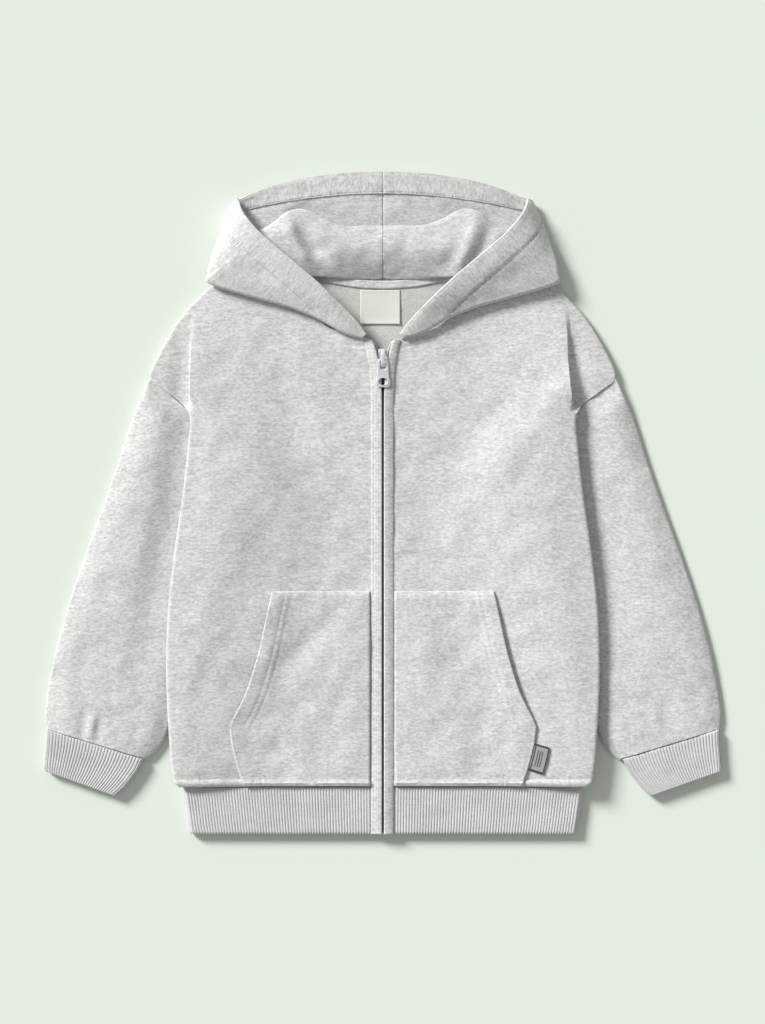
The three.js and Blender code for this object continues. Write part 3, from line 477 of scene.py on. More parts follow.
# The body's outlines and heights, as the part's source has them
BODY = table(
    "cx cy ox oy turn half",
    (1.2, HEM_LINE + 0.2, 166.6, HEM_LINE + 0.2, 1, HALF),
    (1.2, -223, 171.4, -223, 1, HALF),
    (1.2, -185, 174.8, -185, 1, HALF),
    (1.2, -137, 176.7, -137, 1, HALF),
    (1.2, -88, 175.2, -88, 1, HALF),
    (1.2, -40, 170, -40, 1, HALF),
    (1.2, 8, 163.2, 8, 1, HALF),
    (1.2, 48, 158.8, 48, 1, HALF),
    (1.2, 68, 157.4, 69, 1, HALF),
    (1.2, 77, 163.6, 79.9, 0.25, HALF),
    (1.2, 86, 179, 92.4, 0.25, HALF),
    (1.6, 96, 190.6, 102.2, 0.6, HALF),
    (4.6, 111, 184, 121, 1, HALF),
    (6.6, 125, 168.5, 147.5, 1, HALF),
    (9.4, 133.6, 152, 167, 1, HALF),
    (34, 137.6, 136, 180.5, 1, HALF),
    (52, 149.6, 118, 187, 1, 3.7),
    (63, 164, 101, 191, 1, 3.3),
    (69, 181, 87, 194.3, 1, 3.0),
    (70.5, 190, 79, 196.2, 0.7, 2.8),
)
ARMHOLE_FOOT = 8  # the last row below the armhole
COLLAR_START = 14  # the first row that begins at the neckline
CREASE = table(
    "y right left fold",
    (-10, 163, 163, 0), (40, 159, 159, 7), (73, 156.2, 157.6, 7), (92, 153.6, 157.8, 6.2),
    (112, 151.8, 157.6, 4.3), (130, 151, 157, 2.8), (146, 150.8, 156, 1.2),
    (160, 151, 154, 0), (170, 151, 152, 0),
)


def crease_x(y, side):
    return curve(CREASE, "y", y, WORDS[side])


NECK_CENTRE = 183.4
NECK_POINT = (72.0, 196.5)


def back_neckline(x):
    """The back's neck seam: its y at a distance from the middle."""
    return NECK_CENTRE + (NECK_POINT[1] - NECK_CENTRE) * (x / NECK_POINT[0]) ** 2


BODY_CREASES = table(
    CREASE_COLUMNS,
    (-84, 8, -112, -88, 15, -0.7, 5),
    (-108, -70, -152, -180, 15, -0.9, 4),
    (-74, -30, -118, -120, 14, 0.6, -4),
    (-20, -66, -98, -160, 16, -0.7, 4),
    (56, -108, 82, -200, 16, -0.8, -4),
    (66, 62, 36, -36, 18, -0.6, 3),
    (120, 40, 138, -90, 18, 0.4, -3),
    (100, -20, 124, -150, 15, -0.5, 4),
    (-118, -150, -104, -214, 10, -0.7, 3),
    (-60, 96, -96, 20, 12, -0.45, 3),
    (-138, 100, -146, -30, 10, 0.5, 2),
    (96, 104, 118, 12, 13, -0.5, -4),
    (-40, -190, -58, -226, 8, -0.7, 2),
    (-92, -196, -74, -228, 9, -0.8, -2),
    (76, -196, 80, -229, 9, -0.8, 2),
    (138, -120, 150, -212, 9, -0.6, 2),
    (20, 40, 48, -60, 11, -0.4, -3),
    (-22, 118, -84, 132, 9, 0.4, 3),
)
BACK_CREASES = table(
    CREASE_COLUMNS,
    (-90, 20, -140, -160, 12, 0.55, 5),
    (-30, -60, -76, -190, 13, 0.5, -4),
    (52, -20, 96, -170, 14, 0.55, 4),
    (120, 40, 130, -70, 10, 0.45, 3),
    (-20, 90, -70, 40, 11, 0.4, -3),
)


def lift(x, y, side):
    """How far the body is lifted over the sleeve under it."""
    inner = (SLEEVE_FOOT[0] - UNDERARM[0], SLEEVE_FOOT[1] - UNDERARM[1])
    armhole = (SHOULDER_TIP[0] - UNDERARM[0], SHOULDER_TIP[1] - UNDERARM[1])
    px, py = x - UNDERARM[0], y - UNDERARM[1]
    past_inner = (py * inner[0] - px * inner[1]) / math.hypot(*inner)
    past_armhole = (px * armhole[1] - py * armhole[0]) / math.hypot(*armhole)
    margin, side_ramp, top_ramp = 5, 88, 40
    over = ease((past_inner + margin + side_ramp) / side_ramp)
    over = over * ease((past_armhole + margin + top_ramp) / top_ramp)
    return TUCK * over * (1 - ease((y - 77) / 3) * outside_crease(x, y, side))


def outside_crease(x, y, side):
    """0 on the body, 1 past its shoulder fold, where it drops steeply."""
    cliff = 1.3
    return ease((x - crease_x(y, side) + 0.5) / cliff)


FOLD_SHARE = {RIGHT: 1.0, LEFT: 0.5}  # the viewer's left fold stands lower


def front_top(x, y, side, half=HALF):
    """Height of the front's outer face, without its soft folds."""
    lifted = lift(x, y, side)
    approach = 84
    rise = ease((x - crease_x(y, side) + approach) / approach)
    pleat = FOLD_SHARE[side] * curve(CREASE, "y", y, "fold") * rise * (1 - outside_crease(x, y, side))
    return lifted + pleat * (1 - lifted / TUCK) + 2 * half


SHOULDER_HOLLOW = table(
    "y depth", (60, 0), (72, 2.4), (84, 3.0), (100, 2.8), (124, 1.7), (146, 0.7), (170, 0),
)


def shoulder_hollow(side, x, y):
    """Depth of the hollow outside the body's fold, between the fold and the sleeve's top."""
    away = x - crease_x(y, side)
    across = ease((away + 0.4) / 1.3) * (1 - ease((away - 6) / 15))
    return curve(SHOULDER_HOLLOW, "y", y, "depth") * across


def neckline():
    """The front's neck seam in plan, from the zip to the shoulder."""
    v = np.linspace(BODY["place"][COLLAR_START], 1, 40)
    return np.stack(columns_at(BODY, v, "cx cy"), -1)


NECKLINE = neckline()
SIDE_DROOP = 1.3
HEM_PUFF = 3.4  # from the hem seam to the middle of the puffed edge
HEM_STITCHES = 6.6  # from the hem seam to its row of stitches
NECK_STITCHES = 7.0  # from the neck seam to its row of stitches


def droop(x, y):
    """How far the front has already sunk towards its side, before it turns over it."""
    reach = 30
    start = curve(BODY, "oy", y, "ox") - ROLL - reach
    return SIDE_DROOP * np.clip((x - start) / reach, 0, 1) ** 1.6


def front_relief(side, x, y):
    """Soft folds, hem and seam details of a front."""
    under_hood = ease((160 - y) / 30)
    from_hem = y - HEM_LINE
    settled = ease(from_hem / 12)
    inward = ease((curve(BODY, "oy", y, "ox") - 6 - x) / 20)
    soft = creases(BODY_CREASES, side * x, y) + ripple(side * x, y, 11)
    relief = soft * under_hood * settled * inward - droop(x, y) - shoulder_hollow(side, x, y)
    puff = 0.85 + 0.2 * np.sin(x / 9.5 + side)
    relief = relief + puff * np.exp(-(((from_hem - HEM_PUFF) / 2.0) ** 2)) * ease((172 - x) / 10)
    relief = relief + groove(from_hem, HEM_STITCHES + 0.3, 0.6, 1.0)
    relief = relief + pucker(from_hem - HEM_STITCHES, x, 3, 0.12)
    from_neck = distance_to(NECKLINE, x, y)
    neck = groove(from_neck, NECK_STITCHES, 0.4) + 0.35 * np.exp(-(((from_neck - 3.4) / 2.6) ** 2))
    neck = neck + pucker(from_neck - NECK_STITCHES, x + 0.6 * y, 5)
    return relief + neck * ease((x - 14) / 3) * ease((y - 60) / 10)


def front_face(side, x, y):
    return front_top(x, y, side) + front_relief(side, x, y)


def upright(thick, height, x, y):
    """A sloping layer keeps its thickness better if its upright thickness grows with the slope."""
    d = 0.5
    slope = np.hypot(height(x + d, y) - height(x - d, y), height(x, y + d) - height(x, y - d))
    return thick * np.minimum(1.45, np.hypot(1, slope))


def body_rows(step):
    """Places of a body panel's rows, close together at the hem."""
    v = np.linspace(0, 1, 4000)
    cx, cy, ox, oy = columns_at(BODY, v, "cx cy ox oy")
    moved = np.maximum(np.hypot(np.diff(cx), np.diff(cy)), np.hypot(np.diff(ox), np.diff(oy)))
    sums = np.concatenate([[0], np.cumsum(moved)])
    return np.interp(stations(sums[-1], step, start=9), sums, v)[:, None]


def side_turn(edge, outward, middle, half, turn, thick, up):
    """Points of the turn over a side, from the top of the layers down to the seam at half height."""
    share = np.linspace(0, 1, 10)[None, 1:]
    angle = (np.pi / 2) * (1 - 0.965 * share * turn)
    square = FOLD_SQUARE if up > 0 else UNDER_SQUARE
    reach = (ROLL - thick) * turn * np.cos(angle) ** square
    rise = (half - thick) * np.sin(angle) ** square
    return points_at(edge[0] + outward[0] * reach, edge[1] + outward[1] * reach, middle + up * rise)


# Shares of the way from the shoulder fold to the side, at which a front's columns lie.
PAST_FOLD = np.array([
    0.014, 0.028, 0.042, 0.06, 0.09, 0.13, 0.19, 0.26, 0.34, 0.43, 0.53, 0.64, 0.76, 0.88, 1,
])


def front_panel(side):
    v = body_rows(2.7)
    cx, cy, ox, oy, turn, half = columns_at(BODY, v, "cx cy ox oy turn half")
    turn = np.clip(1.3 * turn - 0.3, 0.02, 1)
    end = ox - ROLL * turn
    reach = np.minimum(crease_x(oy, side) - 1, cx + 0.9 * (end - cx))
    inner_share = shares(150, 2.7, start=15, end=4, fine=0.9)
    x = np.concatenate([cx + (reach - cx) * inner_share, reach + (end - reach) * PAST_FOLD], 1)
    y = cy + (oy - cy) * (x - cx) / (ox - cx)
    height = lambda a, b: front_top(a, b, side, half)
    relief = front_relief(side, x, y)
    top = height(x, y) + relief
    low = top - upright(CLOTH, height, x, y)
    top = top - 1.3 * (1 - rounded(y - HEM_LINE - 0.2, 1.5))
    top = top - 1.0 * (1 - rounded(x - cx, 1.2))
    long = np.hypot(ox - cx, oy - cy)
    outward = ((ox - cx) / long, (oy - cy) / long)
    edge = (x[:, -1:], y[:, -1:])
    sunk = SIDE_DROOP + shoulder_hollow(side, *edge)
    middle = top[:, -1:] + sunk - half
    outer, inner = (
        np.concatenate([points_at(x, y, z), side_turn(edge, outward, middle, half - sunk, turn, thick, 1)], 1)
        for z, thick in ((top, 0), (low, CLOTH))
    )
    piece = cloth(f"front_{WORDS[side]}", outer, inner, "fleece", [MARL, NAP], side)
    return piece


def back_panel():
    v = body_rows(3.0)
    ox, oy, turn, half = columns_at(BODY, v, "ox oy turn half")
    turn = np.clip(turn, 0.2, 1)
    last = len(BODY["place"]) - 1
    row = v * last
    above = np.clip((row - ARMHOLE_FOOT) / (last - ARMHOLE_FOOT), 0, 1)
    start = np.where(row > ARMHOLE_FOOT, mix(69, NECK_CENTRE, above), oy)
    start = mix(oy, start, ease((row - ARMHOLE_FOOT) / 0.6))
    end = ox - ROLL * turn
    x = end * shares(150, 3.2, end=6, fine=1.2)
    y = mix(start, oy, (x / ox) ** 2)
    clear = ease((oy.max() - 60 - y) / 30) * ease((y - HEM_LINE) / 20) * ease((end - 12 - x) / 20)
    halves = []
    for side in (LEFT, RIGHT):
        soft = np.maximum(creases(BACK_CREASES, side * x, y) + ripple(side * x, y, 23, height=0.1), 0)
        height = lambda a, b: lift(a, b, side)
        low = height(x, y) + soft * clear
        top = low + upright(CLOTH, height, x, y)
        from_neck = back_neckline(x) - y
        top = top - 0.9 * (1 - rounded(from_neck, 1.6)) * ease((y - 120) / 20)
        middle = low[:, -1:] + half
        edge = (x[:, -1:], y[:, -1:])
        for z, thick in ((low, 0), (top, CLOTH)):
            turned = side_turn(edge, (1, 0), middle, half, turn, thick, -1)
            halves.append(np.concatenate([points_at(x, y, z), turned], 1) * mirror(side))
    left_outer, left_inner, right_outer, right_inner = halves
    outer, inner = whole(left_outer, right_outer), whole(left_inner, right_inner)
    piece = cloth("back", outer, inner, "fleece", [MARL, NAP])
    return piece


# Sleeves and cuffs: flattened tubes
SLEEVE = table(
    "ox oy ix iy",
    (190.55, 102.2, 120.75, 43.2), (205, 70, 125.6, 21), (216, 36, 131.5, -8.5), (228.5, 0, 140, -42.8),
    (241.7, -36, 148.8, -78.3), (255.8, -77, 157.7, -114.2), (267, -116.4, 167, -151.7),
    (274, -150, 176.5, -188), (277, -173, 184.5, -202.5), (275.7, -184.8, 192.7, -210.1),
)
CUFF = table(
    "ox oy ix iy",
    (274.6, -185.3, 196, -209.7), (275, -196, 200.5, -219), (276, -208, 209, -230.5),
    (276.8, -216, 216.2, -237.6), (276.4, -219.2, 219.2, -239.4),
)
SLEEVE_CREASES = table(
    CREASE_COLUMNS,
    (-190, -50, -200, -166, 11, -0.9, 3),
    (-240, -100, -254, -158, 11, -0.8, -3),
    (232, -150, 236, -188, 7, -0.9, 2),
    (214, -30, 236, -130, 14, 0.8, -4),
    (-204, 20, -222, -60, 12, 0.5, 3),
    (-236, -170, -240, -196, 3.4, 1.3, 0),
    (-230, -170, -234, -199, 3.0, -0.8, 0),
    (-244, -168, -247, -194, 3.4, -0.8, 0),
    (-192, -178, -205, -200, 5, -0.6, 2),
    (190, 60, 196, -20, 8, -0.6, -3),
    (196, -60, 212, -160, 9, -0.7, 3),
    (252, -140, 258, -180, 6, -0.6, -2),
    (222, -166, 224, -196, 4, 0.5, 0),
    (-262, -128, -266, -176, 6, -0.5, 2),
)


SLEEVE_HOLLOW = table(
    "y near far depth",
    (-192, 4, 20, 0.3), (-150, 4, 28, 1.2), (-80, 3, 31, 2.4), (-20, 2, 29, 3.3), (30, 1, 27, 3.4),
    (66, 1, 26, 3.4), (92, 2, 22, 2.6), (106, 3, 18, 1.2),
)


HOLLOW_FURTHER = {RIGHT: 8.0, LEFT: 0.0}  # how much further out a sleeve starts to sink
HOLLOW_SWELL = {RIGHT: 0.1, LEFT: 0.4}  # share of the depth by which it rises before that


def sleeve_hollow(side, x, y):
    """How far a sleeve sinks on its way to the body that lies on it."""
    near, far, depth = (curve(SLEEVE_HOLLOW, "y", y, name) for name in ("near", "far", "depth"))
    away = x - curve(BODY, "oy", y, "ox")
    far = far + HOLLOW_FURTHER[side]
    swell = HOLLOW_SWELL[side] * np.exp(-(((away - far - 4) / 13) ** 2))
    return depth * (1 - ease((away - near) / (far - near)) - swell)


def tube(rows, v, around, thick, half, turn, raised, thinning=0.0):
    """A flattened tube. around runs 0 to 1 over the upper layer and on to 2 on the lower one."""
    ox, oy, ix, iy = columns_at(rows, v, "ox oy ix iy")
    width = np.hypot(ix - ox, iy - oy)
    reach = 20  # from a folded side to where the tube has its full thickness
    quarter = 0.12  # share of a layer's run that is spent on each rounded side
    air = 0.2  # least gap between the layers' inner faces
    share = np.where(around <= 1, around, 2 - around)
    angle = (np.pi / 2) * np.minimum(np.minimum(share, 1 - share) / quarter, 1)
    square = np.where(around <= 1, FOLD_SQUARE, UNDER_SQUARE)
    inset = turn - (turn - thick) * np.maximum(np.cos(angle), 0) ** square
    flat = turn + (width - 2 * turn) * (share - quarter) / (1 - 2 * quarter)
    along = np.where(share < quarter, inset, np.where(share > 1 - quarter, width - inset, flat))
    from_side = np.minimum(along, width - along)
    half = half - thinning * (1 - np.clip(from_side / reach, 0, 1)) ** 1.8
    rise = np.maximum(half - thick, 0.05) * np.sin(angle) ** square
    x = mix(ox, ix, along / width)
    y = mix(oy, iy, along / width)
    upper = rise + raised(x, y, np.sin(angle), along)
    least = np.minimum(rise, 2 * CLOTH - thick + air - half)
    return points_at(x, y, half + np.where(around <= 1, np.maximum(upper, least), -rise))


def around_steps(count):
    turned = np.array([0, 0.01, 0.022, 0.036, 0.05, 0.066, 0.083, 0.1])
    flat = np.linspace(0.12, 0.88, count)
    upper = np.concatenate([turned, flat, (1 - turned)[::-1]])
    return np.concatenate([upper, 1 + upper[1:]])[None, :]


def sleeve(side):
    long = 300
    from_armhole = stations(long, 2.7, start=6, end=12, fine=0.9)[:, None]
    from_cuff = long - from_armhole
    v = from_armhole / long

    def raised(x, y, share, along):
        body_side = curve(BODY, "oy", y, "ox")
        open_air = ease((x - body_side - 2) / 12) * np.where(y < 104, 1, 0)
        soft = creases(SLEEVE_CREASES, side * x, y) + ripple(side * x, y, 31)
        soft = soft * share * ease((SHOULDER_TIP[1] - y) / 40) * open_air
        gathers = pucker(from_cuff - 1, along, 7, 0.3, 7.0) * share * open_air
        return soft + gathers - sleeve_hollow(side, x, y) * share**2

    def face(thick):
        thinning = 1.9 * ease(from_armhole / 40)
        grid = tube(SLEEVE, v, around_steps(44), thick, HALF, ROLL, raised, thinning)
        if thick == 0:
            closing = 0.9 * (1 - rounded(from_cuff, 2.4)) + 0.25 * (1 - rounded(from_armhole, 1.0))
            away = grid[..., 2] - HALF
            grid[..., 2] -= closing * np.clip(away, -1, 1)
        return grid

    name = f"sleeve_{WORDS[side]}"
    piece = cloth(name, face(0), face(CLOTH), "fleece", [MARL_SLEEVE[side], NAP], side, ring=True)
    return piece


CUFF_RIBS = 37
RIB_STEPS = 6  # columns drawn on each rib


def rib_wave(count):
    """Height from 0 to 1 across a number of ribs, each a rounded cord with a narrow valley."""
    phase = np.linspace(0, count, count * RIB_STEPS + 1)
    return np.abs(np.sin(np.pi * phase)) ** 0.62


def cuff(side):
    half, turn, long = 3.7, 4.2, 38
    down = stations(long, 2.2, start=3, end=3)[:, None]
    across = np.linspace(0, 1, CUFF_RIBS * RIB_STEPS + 1)
    around = np.concatenate([across, 1 + across[1:]])[None, :]
    wave = np.concatenate([rib_wave(CUFF_RIBS), rib_wave(CUFF_RIBS)[1:]])[None, :]
    at_ends = rounded(np.minimum(down, long - down), 2.2)
    sway = 0.15 * np.sin(down / long * 5 + side)

    def face(deep):
        upper = RIB_DEPTH * wave if not deep else 0 * wave
        raised = lambda x, y, share, along: upper * 1.1 + 0.3 * ripple(x, y, 41) * share
        grid = tube(CUFF, down / long, around, RIB_THICK if deep else 0, half, turn, raised)
        if not deep:
            grid[..., 2] += (around > 1) * (1 - wave) * 0.4
            away = grid[..., 2] - half
            grid[..., 2] = half + away * mix(0.82, 1, at_ends)
        grid[..., 0] += sway
        return grid

    name = f"cuff_{WORDS[side]}"
    piece = cloth(name, face(False), face(True), "rib", [CUFF_RIB[side], RIB], side, ring=True)
    return piece


# The ribbed hem band
BAND_HEIGHT = 7.6
BAND_MIDDLE = BAND_HEIGHT / 2
BAND_START = 1.2
RIB_START = BAND_START + PLACKET_WIDTH + SEAM
BAND = table("y half drop", (HEM_END, 158.2, 1.3), (-266, 159.2, 0), (HEM_LINE - 0.3, 164, 0.5))


def band_points(y, share, thick, up, relief):
    """Points of the band at heights y and shares of its half width, turning over its side end."""
    turn = 4.0
    width = curve(BAND, "y", y, "half") - BAND_START
    along = share * width
    straight = width - turn
    half = BAND_MIDDLE - thick
    angle = (np.pi / 2) * (1 - np.clip((along - straight) / turn, 0, 1) * 0.95)
    reach = (turn - thick) * np.cos(angle)
    x = BAND_START + np.minimum(along, straight) + reach + relief * np.cos(angle) * 0.3
    return points_at(x, y, BAND_MIDDLE + up * (half + relief) * np.sin(angle))


def band_rows():
    long = HEM_LINE - 0.3 - HEM_END
    return (HEM_END + stations(long, 2.4, start=3, end=3))[:, None]


def band_edges(y):
    """Height lost at the band's turned lower edge and at its seam."""
    lower = 1.5 * (1 - rounded(y - HEM_END, 2.6))
    upper = 0.9 * (1 - rounded(HEM_LINE - 0.3 - y, 1.8))
    return lower + upper


def hem_band_front(side):
    y = band_rows()
    width = BAND["half"][-1] - BAND_START
    plain = RIB_START - BAND_START
    ribs = round((width - plain) / RIB_PITCH)
    head = np.linspace(0, plain, 6)[:-1]
    share = np.concatenate([head, np.linspace(plain, width, ribs * RIB_STEPS + 1)])[None, :] / width
    wave = np.concatenate([0 * head, rib_wave(ribs)])[None, :] * RIB_DEPTH
    soft = 0.5 * ripple(side * share * width, y, 51) * ease((share * width - 4) / 12)
    outer = band_points(y, share, 0, 1, wave + soft * ease((y - HEM_END) / 5) - band_edges(y))
    inner = band_points(y, share, RIB_THICK, 1, 0 * wave)
    name = f"hem_band_front_{WORDS[side]}"
    piece = cloth(name, outer, inner, "rib", [RIB, RIB], side)
    return piece


def hem_band_back():
    y = band_rows()
    ribs = round((BAND["half"][-1] - BAND_START) / RIB_PITCH)
    share = np.linspace(0, 1, ribs * RIB_STEPS // 2 + 1)[None, :]
    wave = np.abs(np.sin(np.pi * share * ribs)) ** 0.7
    faces = []
    for thick, relief in ((0, -0.5 * (1 - wave) - 0.42 * band_edges(y)), (RIB_THICK, 0 * wave)):
        right = band_points(y, share, thick, -1, relief)
        right[..., 0] -= BAND_START * (1 - share)
        faces.append(whole(right * mirror(LEFT), right))
    piece = cloth("hem_band_back", *faces, "rib", [RIB, RIB])
    return piece


# Plackets, pockets and the side tag, which follow the fronts' own heights
PLACKET_EDGE = table(
    "y x width",
    (HEM_END, 1.2, 9), (-100, 1.2, 9), (60, 1.2, 9), (84, 1.3, 9), (96, 1.6, 9),
    (105, 2.2, 8.8), (112, 3.2, 8.6), (120, 4.9, 8.2), (127, 6.8, 7.6), (133.4, 9.2, 7),
)
PLACKET_STITCHES = 2.1  # from a placket's outer edge to its row of stitches
PLACKET_START = -0.45  # how much nearer to the middle its folded edge lies, once pressed flat
PLACKET_TRIM = {RIGHT: 1.5, LEFT: 0.3}  # how much of its outer edge is drawn into the seam


def placket_span(side, y):
    start = curve(PLACKET_EDGE, "y", y, "x") + PLACKET_START
    width = curve(PLACKET_EDGE, "y", y, "width") - PLACKET_START - PLACKET_TRIM[side]
    return start, width


def placket_base(side, x, y):
    """Height that a placket lies on: the fleece front, and the ribbed band below it."""
    above = front_top(x, np.maximum(y, HEM_LINE), side) + 0.5 * creases(BODY_CREASES, side * x, y)
    return np.where(y < HEM_LINE, np.maximum(above, BAND_HEIGHT), above)


def placket_face(side, y, across, width):
    """Height above its base of a placket's outer face, at a distance from its zip edge."""
    bulge = 0.45 * np.exp(-(((y - HEM_LINE - 1) / 5) ** 2))
    edges = rounded(across, 0.8) * rounded(width - across, 1.5)
    share = across / width
    crown = 0.16 * np.sin(np.pi * share)
    tilt = (0.6 - 1.3 * share**1.4) if side == RIGHT else (0.2 - 1.5 * share**1.5)
    sewn = groove(width - across, PLACKET_STITCHES, 0.12, 0.7)
    gathers = pucker(width - across - PLACKET_STITCHES, y, 13 + side, 0.07, 2.4)
    waver = 0.12 * np.sin(y / 17 + side) + 0.08 * np.sin(y / 6.1)
    raised = PLACKET_THICK + tilt + bulge + crown + sewn + gathers + waver
    return SEAM + np.maximum(raised, 0.2) * (0.15 + 0.85 * edges)


def placket(side):
    top = 133.2
    y = (HEM_END + stations(top - HEM_END, 2.2, start=3, end=2))[:, None]
    start, width = placket_span(side, y)
    across = width * shares(PLACKET_WIDTH, 0.8, start=2.4, end=2.4)[None, :]
    x = start + across
    base = placket_base(side, x, y)
    ends = 0.8 * (1 - rounded(y - HEM_END, 1.6))
    outer = points_at(x, y, base + placket_face(side, y, across, width) - ends)
    inner = points_at(x, y, base + SEAM)
    piece = cloth(f"placket_{WORDS[side]}", outer, inner, "fleece", [MARL, MARL], side)
    return piece


POCKET_EDGE = table(
    "y x open",
    (HEM_LINE + 1.2, 113.8, 0), (-216, 118.8, 0), (-200, 122.8, 0), (-190, 124.4, 0), (-183, 124.6, 0.1),
    (-176, 122.4, 0.5), (-166, 117.2, 1.4), (-152, 110.8, 2.1), (-122, 101.6, 2.1), (-92, 95, 1.1),
    (-72, 90.6, 0),
)
POCKET_START = {RIGHT: RIB_START - 1.2, LEFT: RIB_START}
POCKET_TOP = -72.0
POCKET_LOW = HEM_LINE + 1.2
MOUTH_CORNER = -183.0
POCKET_CREASES = table(
    CREASE_COLUMNS,
    (-22, -78, -84, -140, 9, -0.8, 3),
    (-38, -150, -52, -214, 11, -0.6, -3),
    (54, -80, 70, -160, 12, -0.7, 3),
    (70, -160, 84, -218, 11, -0.6, -2),
    (30, -100, 44, -170, 9, 0.5, 2),
    (-66, -170, -92, -214, 8, -0.6, 2),
    (-20, -110, -60, -170, 10, 0.5, -3),
    (96, -190, 104, -222, 6, -0.5, 1),
)


def pocket_edge_path():
    y = np.linspace(POCKET_LOW, POCKET_TOP, 70)
    return np.stack([curve(POCKET_EDGE, "y", y, "x"), y], -1)


POCKET_PATH = pocket_edge_path()
MOUTH_PATH = POCKET_PATH[POCKET_PATH[:, 1] > MOUTH_CORNER + 2]
MOUTH_STITCHES = (11.5, 16.3)  # two rows, at these distances from the mouth
SIDE_STITCHES = 2.8
TOP_STITCHES = (1.8, 4.4)


def mouth_gap(y, u):
    """How far a pocket's mouth stands open."""
    return curve(POCKET_EDGE, "y", y, "open") * ease((u - 0.7) / 0.3)


def slack_share(y, u):
    """1 over a pocket's middle, 0 at its sewn edges."""
    return ease(u / 0.15) * ease((1 - u) / 0.1) * ease((y - HEM_LINE) / 14)


def pocket_face(side, x, y, u):
    """Height of a pocket's outer face."""
    from_mouth = distance_to(MOUTH_PATH, x, y)
    from_side = distance_to(POCKET_PATH[POCKET_PATH[:, 1] <= MOUTH_CORNER], x, y)
    from_top = POCKET_TOP - y
    slack = 0.55 + creases(POCKET_CREASES, side * x, y) + 0.6 * ripple(side * x, y, 61)
    slack = slack * slack_share(y, u) * ease(from_top / 6)
    sewn = sum(groove(from_mouth, at, 0.16, 0.75) for at in MOUTH_STITCHES) * ease((y + 186) / 4)
    from_stitches = from_mouth - sum(MOUTH_STITCHES) / 2
    sewn = sewn + 0.12 * np.exp(-((from_stitches / 1.6) ** 2)) * ease((y + 184) / 6)
    sewn = sewn + groove(from_side, SIDE_STITCHES, 0.2, 0.75)
    sewn = sewn + sum(groove(from_top, at, 0.16, 0.7) for at in TOP_STITCHES)
    gathers = pucker(from_stitches, y, 17 + side, 0.09, 4)
    gathers = gathers + pucker(from_side - SIDE_STITCHES, y, 19, 0.1, 3)
    edge = np.minimum(np.minimum(from_mouth, from_side), from_top)
    flat = 0.9 * (1 - rounded(edge, 1.5)) + 1.1 * (1 - rounded(x - POCKET_START[side], 2.2))
    flat = flat + 0.8 * (1 - rounded(from_top, 5)) + 0.5 * (1 - rounded(from_side, 4))
    from_low = y - POCKET_LOW
    low_edge = 0.5 * np.exp(-(((from_low - 2.4) / 1.8) ** 2)) + groove(from_low, 5.8, 0.4, 1.0)
    lifted = SEAM + CLOTH + mouth_gap(y, u) + slack
    return front_face(side, x, y) + lifted + sewn + gathers - flat + low_edge


def pocket(side):
    y = (POCKET_TOP - stations(POCKET_TOP - POCKET_LOW, 2.4, start=7))[:, None]
    edge = curve(POCKET_EDGE, "y", y, "x")
    width = edge - POCKET_START[side]
    u = shares(100, 2.2, start=4, end=20, fine=0.75)[None, :]
    x = POCKET_START[side] + width * u
    outer = points_at(x, y, pocket_face(side, x, y, u))
    lifted = SEAM + mouth_gap(y, u) + 0.5 * slack_share(y, u)
    inner = points_at(x, y, front_face(side, x, y) + lifted)
    piece = cloth(f"pocket_{WORDS[side]}", outer, inner, "fleece", [MARL, NAP], side)
    return piece


# Shares of the tag's reach and height at which its dark threads start and end.
TAG_BARS = ((0.3, 0.36), (0.45, 0.52), (0.61, 0.67))
TAG_BAR_ENDS = (0.2, 0.8)
TAG_FOOT = (0.06, 0.14)
TAG_RIM = (0.07, 0.93)
TAG_END = 0.94


def between(value, ends):
    return (value > ends[0]) & (value < ends[1])


def pocket_tag():
    """The folded tag in the pocket's side seam: bare, but for a border and three plain bars."""
    low, high, reach, thick = -218.0, -196.0, 11.6, 0.8
    across = np.array([0, 0.06, 0.14, 0.3, 0.36, 0.45, 0.52, 0.61, 0.67, 0.78, 0.86, 0.94, 1])[None, :]
    up = np.array([0, 0.03, 0.07, 0.2, 0.5, 0.8, 0.93, 0.97, 1])[:, None]
    y = mix(low, high, up)
    x = curve(POCKET_EDGE, "y", y, "x") + SEAM + reach * across
    y = y - 3.2 * across
    base = front_face(RIGHT, x, y) + SEAM + 0.15
    curl = 0.5 * across**2 + 0.15 * np.sin(np.pi * up)
    outer = points_at(x, y, base + thick + curl)
    inner = points_at(x, y, base + curl * 0.8)
    mid_up = (up[:-1, 0] + up[1:, 0])[:, None] / 2
    mid_across = (across[0, :-1] + across[0, 1:])[None, :] / 2
    border = ~between(mid_up, TAG_RIM) | (mid_across > TAG_END) | between(mid_across, TAG_FOOT)
    bars = np.any([between(mid_across, ends) for ends in TAG_BARS], 0) & between(mid_up, TAG_BAR_ENDS)
    dark = (border | bars).astype(int).ravel()
    piece = cloth("pocket_tag", outer, inner, "tag", [TAG_WEAVE, TAG_DARK], outside=dark)
    return piece


